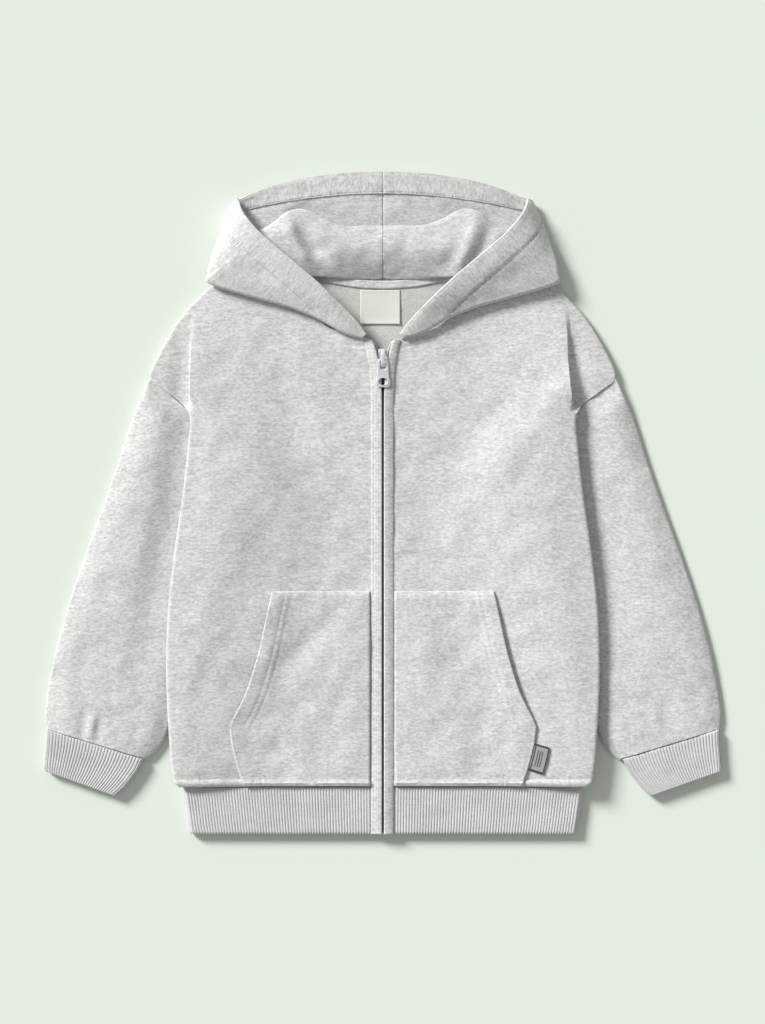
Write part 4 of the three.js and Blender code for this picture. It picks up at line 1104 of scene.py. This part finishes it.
# The hood, as rows from its opening edge (e) over its outer fold (b) to the neck or centre seam (f)
HOOD_NAMES = "ex ey ez bx by r zb zm zf fx fy bend bow"
HOOD = table(
    HOOD_NAMES,
    (13.6, 138, 12.2, 17, 135, 1.35, 9.4, 9.4, 9.4, 13.8, 134.5, 1, 0),
    (22, 149, 13.4, 32, 139.8, 1.8, 9.4, 9.4, 9.4, 28, 137, 1, 0),
    (37, 164.5, 14.8, 52, 150.6, 2.2, 9.4, 9.4, 9.4, 47, 146.6, 1, 0),
    (55, 181.5, 16, 77, 160.4, 2.3, 9.4, 9.4, 9.4, 60.5, 158, 1, 0),
    (77, 200, 17.2, 108, 169, 2.3, 9.4, 9.4, 9.4, 68.5, 176, 1, 0),
    (93, 213.5, 17.8, 140.4, 179, 2.3, 9.4, 9.5, 9, 71, 190.5, 1, 0),
    (99, 219, 17.6, 142, 186, 2.3, 9.3, 9.6, 7.4, 52, 191.4, 1.3, 0),
    (103, 223, 17.2, 141.6, 192, 2.3, 8.8, 9.7, 4, 24, 186.2, 1.6, 0),
    (106, 226.5, 16.8, 140.6, 197, 2.3, 8, 9, 2.4, 0.12, 184.6, 2, 0),
    (108.4, 229.4, 16.3, 139.5, 200.6, 2.3, 7.3, 12.6, 10, 0.12, 199.5, 2, 5),
    (110.6, 232.2, 15.7, 138.2, 204.6, 2.3, 6.4, 14.6, 12.6, 0.12, 210, 2, 11),
    (112.4, 234.8, 14.9, 136.9, 208.6, 2.3, 5.5, 13.5, 11.5, 0.12, 222, 2, 15),
    (113.8, 237.2, 13.9, 135.6, 212.4, 2.3, 4.6, 12.7, 10.8, 0.12, 225.6, 2, 16),
    (114.8, 239.2, 12.9, 134.3, 216.2, 2.3, 3.7, 8, 6.8, 0.12, 225.0, 2, 15.6),
    (115.6, 241, 12, 133, 220, 2.3, 3, 1.6, 1.5, 0.12, 222.4, 2, 14),
    (116.2, 242.7, 11.1, 131.4, 224.6, 2.2, 2.3, 3.4, 4.1, 0.12, 231, 2, 11),
    (116.7, 244.2, 10.3, 129.4, 229.6, 2.15, 2, 5.3, 6.5, 0.12, 243, 2, 5),
    (117.1, 245.7, 9.6, 127, 235, 2.05, 2.3, 6.2, 7.5, 0.12, 252.5, 2, 0),
    (117.4, 247.1, 9.1, 124.2, 241, 1.9, 3.2, 6.6, 7.9, 0.12, 261.5, 2.2, 0),
    (117.8, 248.6, 9, 121, 247, 1.7, 4.8, 6.9, 8.0, 0.12, HOOD_TOP - 0.3, 2.4, 0),
)
OPENING_STAND = {RIGHT: 6.0, LEFT: 4.0}  # how much higher the opening's edge stands at a wide wing
BOW_CENTRE = 0.52
BOW_WIDTH = 0.17
WING_CREASES = table(
    CREASE_COLUMNS,
    (-126, 196, -84, 184, 7, -0.8, 3),
    (-112, 216, -70, 178, 8, 0.5, -2),
    (-60, 168, -36, 152, 5, -0.5, 2),
    (120, 192, 84, 180, 7, -0.7, -3),
    (108, 208, 60, 166, 8, 0.5, 2),
    (52, 160, 34, 150, 4, -0.4, 1),
)
NAPE_CREASES = table(
    CREASE_COLUMNS,
    (40, 216, 62, 224, 6, -0.9, 2),
    (34, 204, 58, 190, 6, -1.0, 2),
    (58, 216, 40, 194, 6, 0.8, -2),
    (22, 222, 20, 196, 5, -0.7, 2),
    (-22, 238, -24, 204, 5, -0.9, 2),
    (-46, 226, -40, 198, 6, 0.6, -2),
    (-80, 234, -57, 192, 4.4, 3.3, 2),
    (-69, 230, -47, 198, 6.5, -3.6, 2),
    (76, 232, 57, 186, 5, 2.0, -2),
    (90, 230, 70, 192, 5, -2.2, -2),
    (66, 226, 46, 190, 6, -0.8, -2),
    (-2, 222, -2, 192, 4, 0.4, 0),
    (-30, 212, -52, 206, 5, -0.5, 1),
)
CREST_PLACE = 12.5 / 19  # the place along the rows of the lip where the nape folds over
HOOD_HEM = 19.5  # width of the hem turned in round the opening
RIM_STITCHES = 1.9


def hood_middle(v, u, side=RIGHT):
    """Middle of the hood's cloth: u 0 to 1 over the upper layer, 1 to 2 round the fold, to 3 back below."""
    ex, ey, ez, bx, by, r, zb, zm, zf, fx, fy, bend, bow = columns_at(HOOD, v, HOOD_NAMES)
    reach = np.hypot(bx - ex, by - ey)
    out_x, out_y = (bx - ex) / reach, (by - ey) / reach
    fold_x, fold_y = bx - out_x * r, by - out_y * r
    t = np.clip(u, 0, 1)
    crown = 1.2 * ease(reach / 25) * np.sin(np.pi * t)
    stand = OPENING_STAND[side] * ease((reach - 8) / 20) * (1 - t) ** 1.2
    even, late = 0.7 * t + 0.3 * ease(t), 0.45 * t + 0.55 * t**4
    down = even if side == RIGHT else late
    upper = [mix(ex, fold_x, t), mix(ey, fold_y, t), mix(ez, zb + 2 * r, down) + crown + stand]
    angle = np.pi * np.clip(u - 1, 0, 1)
    push = r * np.sin(angle)
    turned = [fold_x + out_x * push, fold_y + out_y * push, zb + r * (1 + np.cos(angle))]
    s = np.clip(3 - u, 0, 1)
    bump = np.exp(-(((s - BOW_CENTRE) / BOW_WIDTH) ** 2))
    back_y = mix(fy, fold_y, s**bend) + bow * bump * np.sin(np.pi * s)
    near = mix(zf, zm, ease(s / BOW_CENTRE))
    far = mix(zm, zb, ease((s - BOW_CENTRE) / (1 - BOW_CENTRE)))
    lower = [mix(fx, fold_x, s), back_y, np.where(s < BOW_CENTRE, near, far)]
    chosen = [np.where(u <= 1, a, np.where(u < 2, b, c)) for a, b, c in zip(upper, turned, lower)]
    return np.stack(chosen, -1)


def hood_normal(v, u, side):
    """The hood's outward directions, from its slopes over a small step."""
    d = 0.02
    along_row = hood_middle(v, np.minimum(3, u + d), side) - hood_middle(v, np.maximum(0, u - d), side)
    above = hood_middle(np.minimum(1, v + d / 2), u, side)
    below = hood_middle(np.maximum(0, v - d / 2), u, side)
    normal = np.cross(along_row, above - below)
    return normal / np.maximum(np.linalg.norm(normal, axis=-1, keepdims=True), 1e-9)


def hood_relief(side, v, u, middle):
    """Soft folds of the hood, along its outward direction."""
    x, y = side * middle[..., 0], middle[..., 1]
    wing = creases(WING_CREASES, x, y) + 0.8 * ripple(x, y, 71)
    nape = creases(NAPE_CREASES, x, y) + 0.9 * ripple(x, y, 73, 40, 12)
    on_wing = ease(u / 0.2) * ease((1 - u) / 0.2) * ease((v - 0.02) / 0.12)
    on_nape = ease((u - 2.1) / 0.2) * ease((middle[..., 2] - 3.4) / 2.5)
    return wing * on_wing - nape * on_nape


def hood_point(side, v, u, off, relief=True):
    middle = hood_middle(v, u, side)
    shift = off + (hood_relief(side, v, u, middle) if relief else 0)
    point = middle + hood_normal(v, u, side) * np.broadcast_to(shift, middle.shape[:2])[..., None]
    point[..., 0] = np.maximum(point[..., 0], 0.1)
    point[..., 1] = np.minimum(point[..., 1], HOOD_TOP)
    point[..., 2] = np.maximum(point[..., 2], 0)
    return point


def hood_rows(step):
    v = np.linspace(0, 1, 3000)[:, None]
    lines = [hood_middle(v, np.array([[u]]))[:, 0] for u in (0.0, 1.5, 3.0)]
    moved = [np.linalg.norm(np.diff(line, axis=0), axis=1) for line in lines]
    sums = np.concatenate([[0], np.cumsum(np.max(moved, axis=0))])
    return np.interp(stations(sums[-1], step, end=3), sums, v[:, 0])[:, None]


def wing_width(v):
    """Width of the upper layer, from the opening's edge to the outer fold."""
    ex, ey, bx, by, r = columns_at(HOOD, v, "ex ey bx by r")
    return np.hypot(bx - ex, by - ey) - r


def hood_half(side):
    v = hood_rows(2.3)
    upper = shares(50, 1.5, start=4, fine=0.8)
    turned = 1 + np.linspace(0, 1, 11)[1:]
    lower = 2 + shares(120, 2.6, end=3)[1:]
    u = np.concatenate([upper, turned, lower])[None, :]
    from_rim = np.clip(u, 0, 1) * wing_width(v)
    from_centre = hood_middle(v, u)[..., 0]
    seam_round = np.where(v > CREST_PLACE, 1.3, 0.5)
    thickness = rounded(from_rim, 0.8) * np.where(u > 2, rounded(from_centre, seam_round), 1)
    before_fold = u < 0.97
    sewn = groove(from_rim, HOOD_HEM, 0.5, 0.9) * before_fold + groove(from_rim, RIM_STITCHES, 0.22, 0.6)
    wide = ease((v - 0.02) / 0.04)
    gathers = pucker(from_rim - HOOD_HEM, v * 210, 81 + side, 0.16, 3.0) * before_fold
    hem_step = 0.35 * ease((HOOD_HEM - from_rim) / 1.4) * ease(from_rim / 2) * wide
    sides = (sewn + gathers) * wide + hem_step
    outer = hood_point(side, v, u, CLOTH / 2 * thickness + sides)
    inner = hood_point(side, v, u, -CLOTH / 2 * thickness)
    strip = (u[:, 1:] + u[:, :-1]) / 2
    on_wing = (strip < 1.5) & (v[1:] > 0)
    outside = np.where(on_wing, 0, 1).ravel()
    name = f"hood_{WORDS[side]}"
    piece = cloth(name, outer, inner, "fleece", [MARL_WING[side], MARL], side, False, outside)
    return piece


FACING_NEAR = -CLOTH / 2 - SEAM / 2
FACING_THICK = 0.9
FACING_LONG = 30.0
FACING_STITCHES = 2.6  # from the turned-in hem's lower edge to its row of stitches


def facing_row(from_low):
    """Place along the hood's rows, at a distance from the turned-in hem's lower edge."""
    last = len(HOOD["place"]) - 1
    first, end = (last - 2) / last, 0.985
    return first + (end - first) * from_low / FACING_LONG


def hood_hem(side):
    """The wide hem turned in along the top of the opening, where it shows inside the hood."""
    from_low = stations(FACING_LONG, 1.2, start=4, end=2, fine=0.7)[:, None]
    v = facing_row(from_low)
    u = 2.0 + shares(115, 2.0, start=2, end=3)[None, :]
    x = hood_middle(v, u)[..., 0]
    thickness = rounded(from_low, 2.0) * rounded(x, 1.2)
    soft = 0.3 * ripple(side * x, from_low * 1.2, 91, 30, 9)
    soft = soft + 0.25 * np.sin(x / 2.9 + side) * ease((6 - from_low) / 5)
    sewn = groove(from_low, FACING_STITCHES, 0.34, 0.7) + pucker(from_low - FACING_STITCHES, x, 93, 0.16, 3)
    face = FACING_NEAR - FACING_THICK * (0.5 + 0.5 * thickness) - sewn - soft * ease(from_low / 3)
    outer = hood_point(side, v, u, face, False)
    inner = hood_point(side, v, u, FACING_NEAR - FACING_THICK * (0.5 - 0.5 * thickness), False)
    piece = cloth(f"hood_hem_{WORDS[side]}", outer, inner, "fleece", [MARL_HEM, MARL_HEM], side)
    return piece


# Inside the neck
def neck_tape():
    start, wide = 1.4, 6.8
    x = np.linspace(-58, 58, 60)[None, :]
    across = stations(wide, 0.8, start=2, end=2)[:, None]
    y = back_neckline(x) - (start + across)
    edge = rounded(np.minimum(across, wide - across), 1.0)
    waver = 0.12 * np.sin(x / 4.3) + 0.08 * np.sin(x / 1.9 + 1)
    base = CLOTH + SEAM
    outer = points_at(x, y, base + 0.15 + 0.85 * edge + waver * edge)
    inner = points_at(x, y, base)
    piece = cloth("neck_tape", outer, inner, "neck_tape", [MARL, MARL])
    return piece


def neck_label():
    """A plain woven label. It is left bare."""
    left, right, low, high = -18.6, 14.0, 146.4, 174.4
    x = (left + stations(right - left, 1.6, start=2, end=2))[None, :]
    y = (low + stations(high - low, 1.6, start=2, end=2))[:, None]
    edge = rounded(np.minimum(np.minimum(x - left, right - x), np.minimum(y - low, high - y)), 0.6)
    loose = ease((174 - y) / 20)
    curl = 0.5 * loose * ((x + 2.3) / 16.3) ** 2 + 0.45 * loose * ease((152 - y) / 6)
    base = CLOTH + SEAM + curl
    outer = points_at(x, y, base + 0.6 * edge)
    inner = points_at(x, y, base)
    piece = cloth("neck_label", outer, inner, "label", [LABEL_WEAVE, LABEL_WEAVE])
    return piece


# Zip
TAPE_EDGE = table(
    "y x",
    (HEM_END + 1, 0.15), (60, 0.15), (104, 0.15), (112, 0.6), (120, 2.2), (126, 3.8), (132.5, 6.6),
)
CHAIN_TOP = 106.0
TOOTH_PITCH = 1.35


def zip_tape(side):
    low, high = TAPE_EDGE["y"][[0, -1]]
    y = (low + stations(high - low, 2.5, start=1, end=1))[:, None]
    across = stations(TAPE_WIDTH, 0.9, start=2, end=1)[None, :]
    x = curve(TAPE_EDGE, "y", y, "x") + across
    bead = 0.25 * np.exp(-(((across - 0.7) / 0.6) ** 2))
    edge = rounded(np.minimum(across, TAPE_WIDTH - across), 0.5)
    outer = points_at(x, y, TAPE_LOW + TAPE_THICK * (0.2 + 0.8 * edge) + bead)
    inner = points_at(x, y, TAPE_LOW)
    piece = cloth(f"zip_tape_{WORDS[side]}", outer, inner, "zip_tape", [TAPE_WEAVE, TAPE_WEAVE], side)
    return piece


def rounded_box(low, high, bevel):
    """Points and faces of a box with its edges cut back by a bevel."""
    made = bpy.data.meshes.new("scratch")
    shape = bmesh.new()
    bmesh.ops.create_cube(shape, size=1)
    size = Vector(high) - Vector(low)
    middle = (Vector(high) + Vector(low)) / 2
    for vertex in shape.verts:
        vertex.co = Vector((vertex.co.x * size.x, vertex.co.y * size.y, vertex.co.z * size.z)) + middle
    bmesh.ops.bevel(shape, geom=shape.edges[:], offset=bevel, segments=2, affect="EDGES", profile=0.6)
    shape.to_mesh(made)
    shape.free()
    points = np.array([v.co for v in made.vertices])
    faces = [list(f.vertices) for f in made.polygons]
    bpy.data.meshes.remove(made)
    return points, faces


def zip_chain():
    """Closed teeth, from the bottom stop up to the slider: short bars from the left and right in turn."""
    low = TAPE_LOW + TAPE_THICK + SEAM
    high = 1.5
    points, faces = rounded_box((-0.32, -0.46, 0), (0.98, 0.46, high), 0.18)
    teeth = []
    for k in range(int((CHAIN_TOP - HEM_END - 6) / TOOTH_PITCH * 2)):
        side = RIGHT if k % 2 else LEFT
        moved = points * mirror(side) + np.array([0, HEM_END + 5 + k * TOOTH_PITCH / 2, low])
        teeth.append((moved, [face[::side] for face in faces]))
    stop = rounded_box((-1.1, HEM_END + 1.6, low), (1.1, HEM_END + 4.4, low + high), 0.3)
    points, faces = join(*teeth, stop)
    piece = add_mesh("zip_chain_teeth", points, faces, [TEETH], sharp=30)
    return dress(piece, "zip_chain")


def plate(outline, low, high, holes=(), *, bevel):
    """A flat plate with holes, from an outline in X and Y, with its edges bevelled."""
    curve_data = bpy.data.curves.new("scratch", "CURVE")
    curve_data.dimensions = "2D"
    curve_data.fill_mode = "BOTH"
    for loop in (outline, *holes):
        spline = curve_data.splines.new("POLY")
        spline.points.add(len(loop) - 1)
        for point, (x, y) in zip(spline.points, loop):
            point.co = (x, y, 0, 1)
        spline.use_cyclic_u = True
    curve_data.extrude = (high - low) / 2 - bevel
    curve_data.bevel_depth = bevel
    curve_data.bevel_resolution = 3
    curve_data.offset = -bevel
    holder = bpy.data.objects.new("scratch", curve_data)
    bpy.context.scene.collection.objects.link(holder)
    bpy.context.view_layer.update()
    mesh = bpy.data.meshes.new_from_object(holder.evaluated_get(bpy.context.evaluated_depsgraph_get()))
    points = np.array([v.co for v in mesh.vertices]) + np.array([0, 0, (low + high) / 2])
    faces = [list(f.vertices) for f in mesh.polygons]
    bpy.data.objects.remove(holder)
    bpy.data.curves.remove(curve_data)
    bpy.data.meshes.remove(mesh)
    return points, faces


def smooth_loop(corners, steps=6, pull=0.34):
    """A closed outline through its corners' cut-off arcs."""
    corners = np.array(corners, float)
    loop = []
    for before, here, after in zip(np.roll(corners, 1, 0), corners, np.roll(corners, -1, 0)):
        a = mix(here, before, pull)
        b = mix(here, after, pull)
        for t in np.linspace(0, 1, steps):
            loop.append((1 - t) ** 2 * a + 2 * t * (1 - t) * here + t**2 * b)
    return [tuple(p) for p in loop]


def join(*shapes):
    """Several shapes as one, each given by its points and faces."""
    points = []
    faces = []
    base = 0
    for shape_points, shape_faces in shapes:
        points.append(shape_points)
        faces.extend([[i + base for i in f] for f in shape_faces])
        base += len(shape_points)
    return np.concatenate(points), faces


PIVOT = (117.0, 11.2)  # Y and Z of the pull tab's pin
PIN_RADIUS = 0.7


def zip_slider():
    half = [(2.9, 106.6), (4, 113), (4, 124.6), (2.6, 126)]
    outline = smooth_loop(half + [(-x, y) for x, y in reversed(half)])
    upper = plate(outline, 6.9, 8, bevel=0.35)
    lower = plate(outline, 2.8, 3.7, bevel=0.3)
    post = rounded_box((-1, 121.7, 3.2), (1, 125.1, 7.6), 0.3)
    over = [
        (110.5, 7.6), (110.5, 10.6), (111.6, 12.6), (113.6, 13.4),
        (121, 13.4), (124, 12.4), (125.6, 10), (125.8, 7.6),
    ]
    under = [
        (123.8, 7.6), (123.6, 9.8), (122.4, 11.6), (120.6, 12.3),
        (114, 12.3), (112.8, 11.8), (112, 10.4), (112, 7.6),
    ]
    side_view = smooth_loop(over + under, 4, 0.3)
    points, faces = plate(side_view, -1.6, 1.6, bevel=0.4)
    bridge = points[:, [2, 0, 1]], faces
    guides = []
    for side in (RIGHT, LEFT):
        guide = [(side * 3.3, 107.6), (side * 4, 113), (side * 4, 124), (side * 3.2, 124)]
        guides.append(plate(smooth_loop(guide), 6.2, 7.2, bevel=0.2))
    points, faces = join(upper, lower, post, bridge, *guides)
    piece = add_mesh("zip_slider_metal", points, faces, [METAL], sharp=40)
    return dress(piece, "zip_slider")


def zip_pull():
    top, window_end, end = PIVOT[0] + PIN_RADIUS, PIVOT[0] - 7.9, 94.7
    ring_y, ring_wide, ring_long, lip_share = 99, 3.8, 2.9, 1.25
    half = [(4.0, top), (4.5, 110), (4.6, 104.5), (5.3, 101), (5.9, 98.2), (5.3, 95.6), (3.0, end - 0.4)]
    outline = smooth_loop(half + [(-x, y) for x, y in reversed(half)], 5)
    bar = PIVOT[0] - PIN_RADIUS
    window = smooth_loop([(-2.6, window_end), (2.6, window_end), (2.6, bar), (-2.6, bar)], 5, 0.25)
    turns = np.linspace(0, 2 * math.pi, 41)[:-1]
    ring = [(ring_wide * math.cos(a), ring_y + ring_long * math.sin(a)) for a in turns]
    low, high = PIVOT[1] - PIN_RADIUS, PIVOT[1] + PIN_RADIUS
    points, faces = plate(outline, low, high, [window, ring], bevel=0.32)
    rim = [(lip_share * x, ring_y + lip_share * (y - ring_y)) for x, y in ring]
    lip = plate(rim, high - 0.15, high + 0.3, [ring], bevel=0.12)
    points, faces = join((points, faces), lip)
    piece = add_mesh("zip_pull_metal", points, faces, [METAL], sharp=40)
    return dress(piece, "zip_pull", "pull_tab")


# Sewing
STITCH_LONG = 2.3
STITCH_GAP = 0.8
STITCH_RADIUS = 0.14
STITCH_SUNK = 0.05  # how far its middle lies below the cloth's face
CORD_SIDES = 6


def sew(name, lines):
    """Rows of stitches as joined small cords. Each line gives its points and the way up at each."""
    turns = np.linspace(0, 2 * math.pi, CORD_SIDES + 1)[:-1]
    ring = np.array([[math.cos(a), math.sin(a)] for a in turns])
    places = np.array([-0.5, -0.38, 0, 0.38, 0.5])
    sizes = np.array([0.25, 0.85, 1.0, 0.85, 0.25])
    dips = np.array([-0.55, -0.12, 0.1, -0.12, -0.55])
    corners = CORD_SIDES * len(places)
    all_points = []
    all_faces = []
    base = 0
    for points, ups in lines:
        gaps = np.linalg.norm(np.diff(points, axis=0), axis=1)
        sums = np.concatenate([[0], np.cumsum(gaps)])
        count = int(sums[-1] // (STITCH_LONG + STITCH_GAP))
        if count < 1:
            continue
        pitch = sums[-1] / count
        centres = (np.arange(count) + 0.5) * pitch
        at = lambda where: np.stack([np.interp(where, sums, points[:, k]) for k in range(3)], -1)
        forward = at(centres + 0.6) - at(centres - 0.6)
        forward /= np.linalg.norm(forward, axis=1, keepdims=True)
        up = np.stack([np.interp(centres, sums, ups[:, k]) for k in range(3)], -1)
        side = np.cross(forward, up)
        side /= np.linalg.norm(side, axis=1, keepdims=True)
        up = np.cross(side, forward)
        for middle, f, s, n in zip(at(centres), forward, side, up):
            for place, size, dip in zip(places, sizes, dips):
                centre = middle + f * place * STITCH_LONG + n * dip * STITCH_RADIUS
                round_it = ring[:, :1] * s + 0.8 * ring[:, 1:] * n
                all_points.append(centre + STITCH_RADIUS * size * round_it)
            for start in range(base, base + corners - CORD_SIDES, CORD_SIDES):
                for j in range(CORD_SIDES):
                    a, b = start + j, start + (j + 1) % CORD_SIDES
                    all_faces.append([a, b, b + CORD_SIDES, a + CORD_SIDES])
            all_faces.append([base + j for j in reversed(range(CORD_SIDES))])
            base += corners
            all_faces.append([base - CORD_SIDES + j for j in range(CORD_SIDES)])
    piece = add_mesh(name, np.concatenate(all_points), all_faces, [THREAD], sharp=80)
    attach(piece, "garment")
    return piece


def on_level(x, y, z):
    """Points and upward directions of a line on level cloth."""
    points = points_at(x, y, z)
    return points, np.tile([0.0, 0, 1], (len(points), 1))


def on_height(height, x, y, side):
    """Points and upward directions on a face given by its height over plan positions."""
    d = 0.4
    z = height(x, y)
    slope_x = (height(x + d, y) - height(x - d, y)) / (2 * d)
    slope_y = (height(x, y + d) - height(x, y - d)) / (2 * d)
    ups = np.stack([-side * slope_x, -slope_y, np.ones_like(x)], -1)
    ups /= np.linalg.norm(ups, axis=1, keepdims=True)
    return points_at(side * x, y, z - STITCH_SUNK), ups


def offset_path(path, away):
    """A line moved sideways by a distance, to its right."""
    step = np.gradient(path, axis=0)
    step /= np.linalg.norm(step, axis=1, keepdims=True)
    return path + away * np.stack([step[:, 1], -step[:, 0]], -1)


def body_stitches(side):
    face = lambda x, y: front_face(side, x, y)
    x = np.linspace(RIB_START + 1, 160, 200)
    lines = [on_height(face, x, np.full_like(x, HEM_LINE + HEM_STITCHES), side)]
    path = offset_path(NECKLINE, NECK_STITCHES)
    path = path[path[:, 0] < 56]
    lines.append(on_height(face, path[:, 0], path[:, 1], side))
    y = np.linspace(HEM_END + 3, 131, 400)
    start, width = placket_span(side, y)
    x = start + width - PLACKET_STITCHES
    across = width - PLACKET_STITCHES
    z = placket_base(side, x, y) + placket_face(side, y, across, width) + 0.05
    lines.append(on_level(side * x, y, z))
    return sew(f"front_stitches_{WORDS[side]}", lines)


def pocket_stitches(side):
    def face(x, y):
        start = POCKET_START[side]
        u = np.clip((x - start) / (curve(POCKET_EDGE, "y", y, "x") - start), 0, 1)
        return pocket_face(side, x, y, u)

    lines = []
    for away in MOUTH_STITCHES:
        path = offset_path(MOUTH_PATH, -away)
        path = path[(path[:, 1] < POCKET_TOP - 3) & (path[:, 1] > MOUTH_CORNER + 2)]
        lines.append(on_height(face, path[:, 0], path[:, 1], side))
    low = offset_path(POCKET_PATH[POCKET_PATH[:, 1] <= MOUTH_CORNER], -SIDE_STITCHES)
    low = low[low[:, 1] > POCKET_LOW + 4]
    lines.append(on_height(face, low[:, 0], low[:, 1], side))
    corner = np.linspace(curve(POCKET_EDGE, "y", MOUTH_CORNER, "x") - 17, 122, 20)
    lines.append(on_height(face, corner, np.full_like(corner, MOUTH_CORNER - 1.0), side))
    for away in TOP_STITCHES:
        x = np.linspace(POCKET_START[side] + 2, 88, 80)
        lines.append(on_height(face, x, np.full_like(x, POCKET_TOP - away), side))
    return sew(f"pocket_stitches_{WORDS[side]}", lines)


def hood_stitches(side):
    v = np.linspace(0.1, 0.95, 200)[:, None]
    u = HOOD_HEM / wing_width(v)
    keep = (u < 0.95)[:, 0]
    u = np.where(u < 0.95, u, 0.95)
    points = hood_point(side, v, u, CLOTH / 2 - 0.1)[keep, 0]
    lines = [(points * mirror(side), hood_normal(v, u, side)[keep, 0] * mirror(side))]
    v = np.full((1, 200), facing_row(FACING_STITCHES))
    u = np.linspace(2.12, 2.97, 200)[None, :]
    points = hood_point(side, v, u, FACING_NEAR - FACING_THICK + 0.15, False)[0]
    lines.append((points * mirror(side), -hood_normal(v, u, side)[0] * mirror(side)))
    return sew(f"hood_stitches_{WORDS[side]}", lines)


def inside_stitches():
    x = np.linspace(-56, 56, 200)
    lines = [on_level(x, back_neckline(x) - below, CLOTH + SEAM + 1.02) for below in (2.6, 7.2)]
    lines.append(on_level(np.linspace(-17.4, 12.8, 40), 172.6, CLOTH + SEAM + 0.62))
    return sew("neck_stitches", lines)


back_panel()
hem_band_back()
neck_tape()
neck_label()
for side in (RIGHT, LEFT):
    front_panel(side)
    placket(side)
    pocket(side)
    sleeve(side)
    cuff(side)
    hem_band_front(side)
    hood_half(side)
    hood_hem(side)
    zip_tape(side)
    body_stitches(side)
    pocket_stitches(side)
    hood_stitches(side)
inside_stitches()
pocket_tag()
zip_chain()
zip_slider()
zip_pull()


# Floor, light and camera
def floor():
    half, under = 20000.0, -0.05
    points = [(-half, -half, under), (half, -half, under), (half, half, under), (-half, half, under)]
    plane = add_mesh("floor", points, [[0, 1, 2, 3]], [painted_floor("floor_paint")])


ROOM_LIGHT = 0.37
SUN_LIGHT = 4.53
SUN_WIDTH = 17  # in degrees, which sets how soft the shadows are
SUN_TOWARD = (0.74, -0.63, -0.5)


def light():
    world = bpy.data.worlds.new("studio")
    bpy.context.scene.world = world
    world.use_nodes = True
    background = world.node_tree.nodes["Background"]
    background.inputs["Color"].default_value = (1, 1, 1, 1)
    background.inputs["Strength"].default_value = ROOM_LIGHT
    key = bpy.data.lights.new("window", "SUN")
    key.energy = SUN_LIGHT
    key.angle = math.radians(SUN_WIDTH)
    key.color = (1.0, 0.995, 0.985)
    holder = bpy.data.objects.new("window", key)
    bpy.context.scene.collection.objects.link(holder)
    holder.rotation_euler = Vector(SUN_TOWARD).to_track_quat("-Z", "Y").to_euler()


CAMERA_CENTRE = (-0.4, -7.4)
CAMERA_HEIGHT = 1983.0


def camera():
    lens = bpy.data.cameras.new("camera")
    lens.lens = 85
    lens.sensor_width = 36
    holder = bpy.data.objects.new("camera", lens)
    bpy.context.scene.collection.objects.link(holder)
    holder.location = (CAMERA_CENTRE[0] * MM, CAMERA_CENTRE[1] * MM, CAMERA_HEIGHT * MM)
    bpy.context.scene.camera = holder


floor()
light()
camera()
bpy.context.scene.view_settings.view_transform = "Standard"
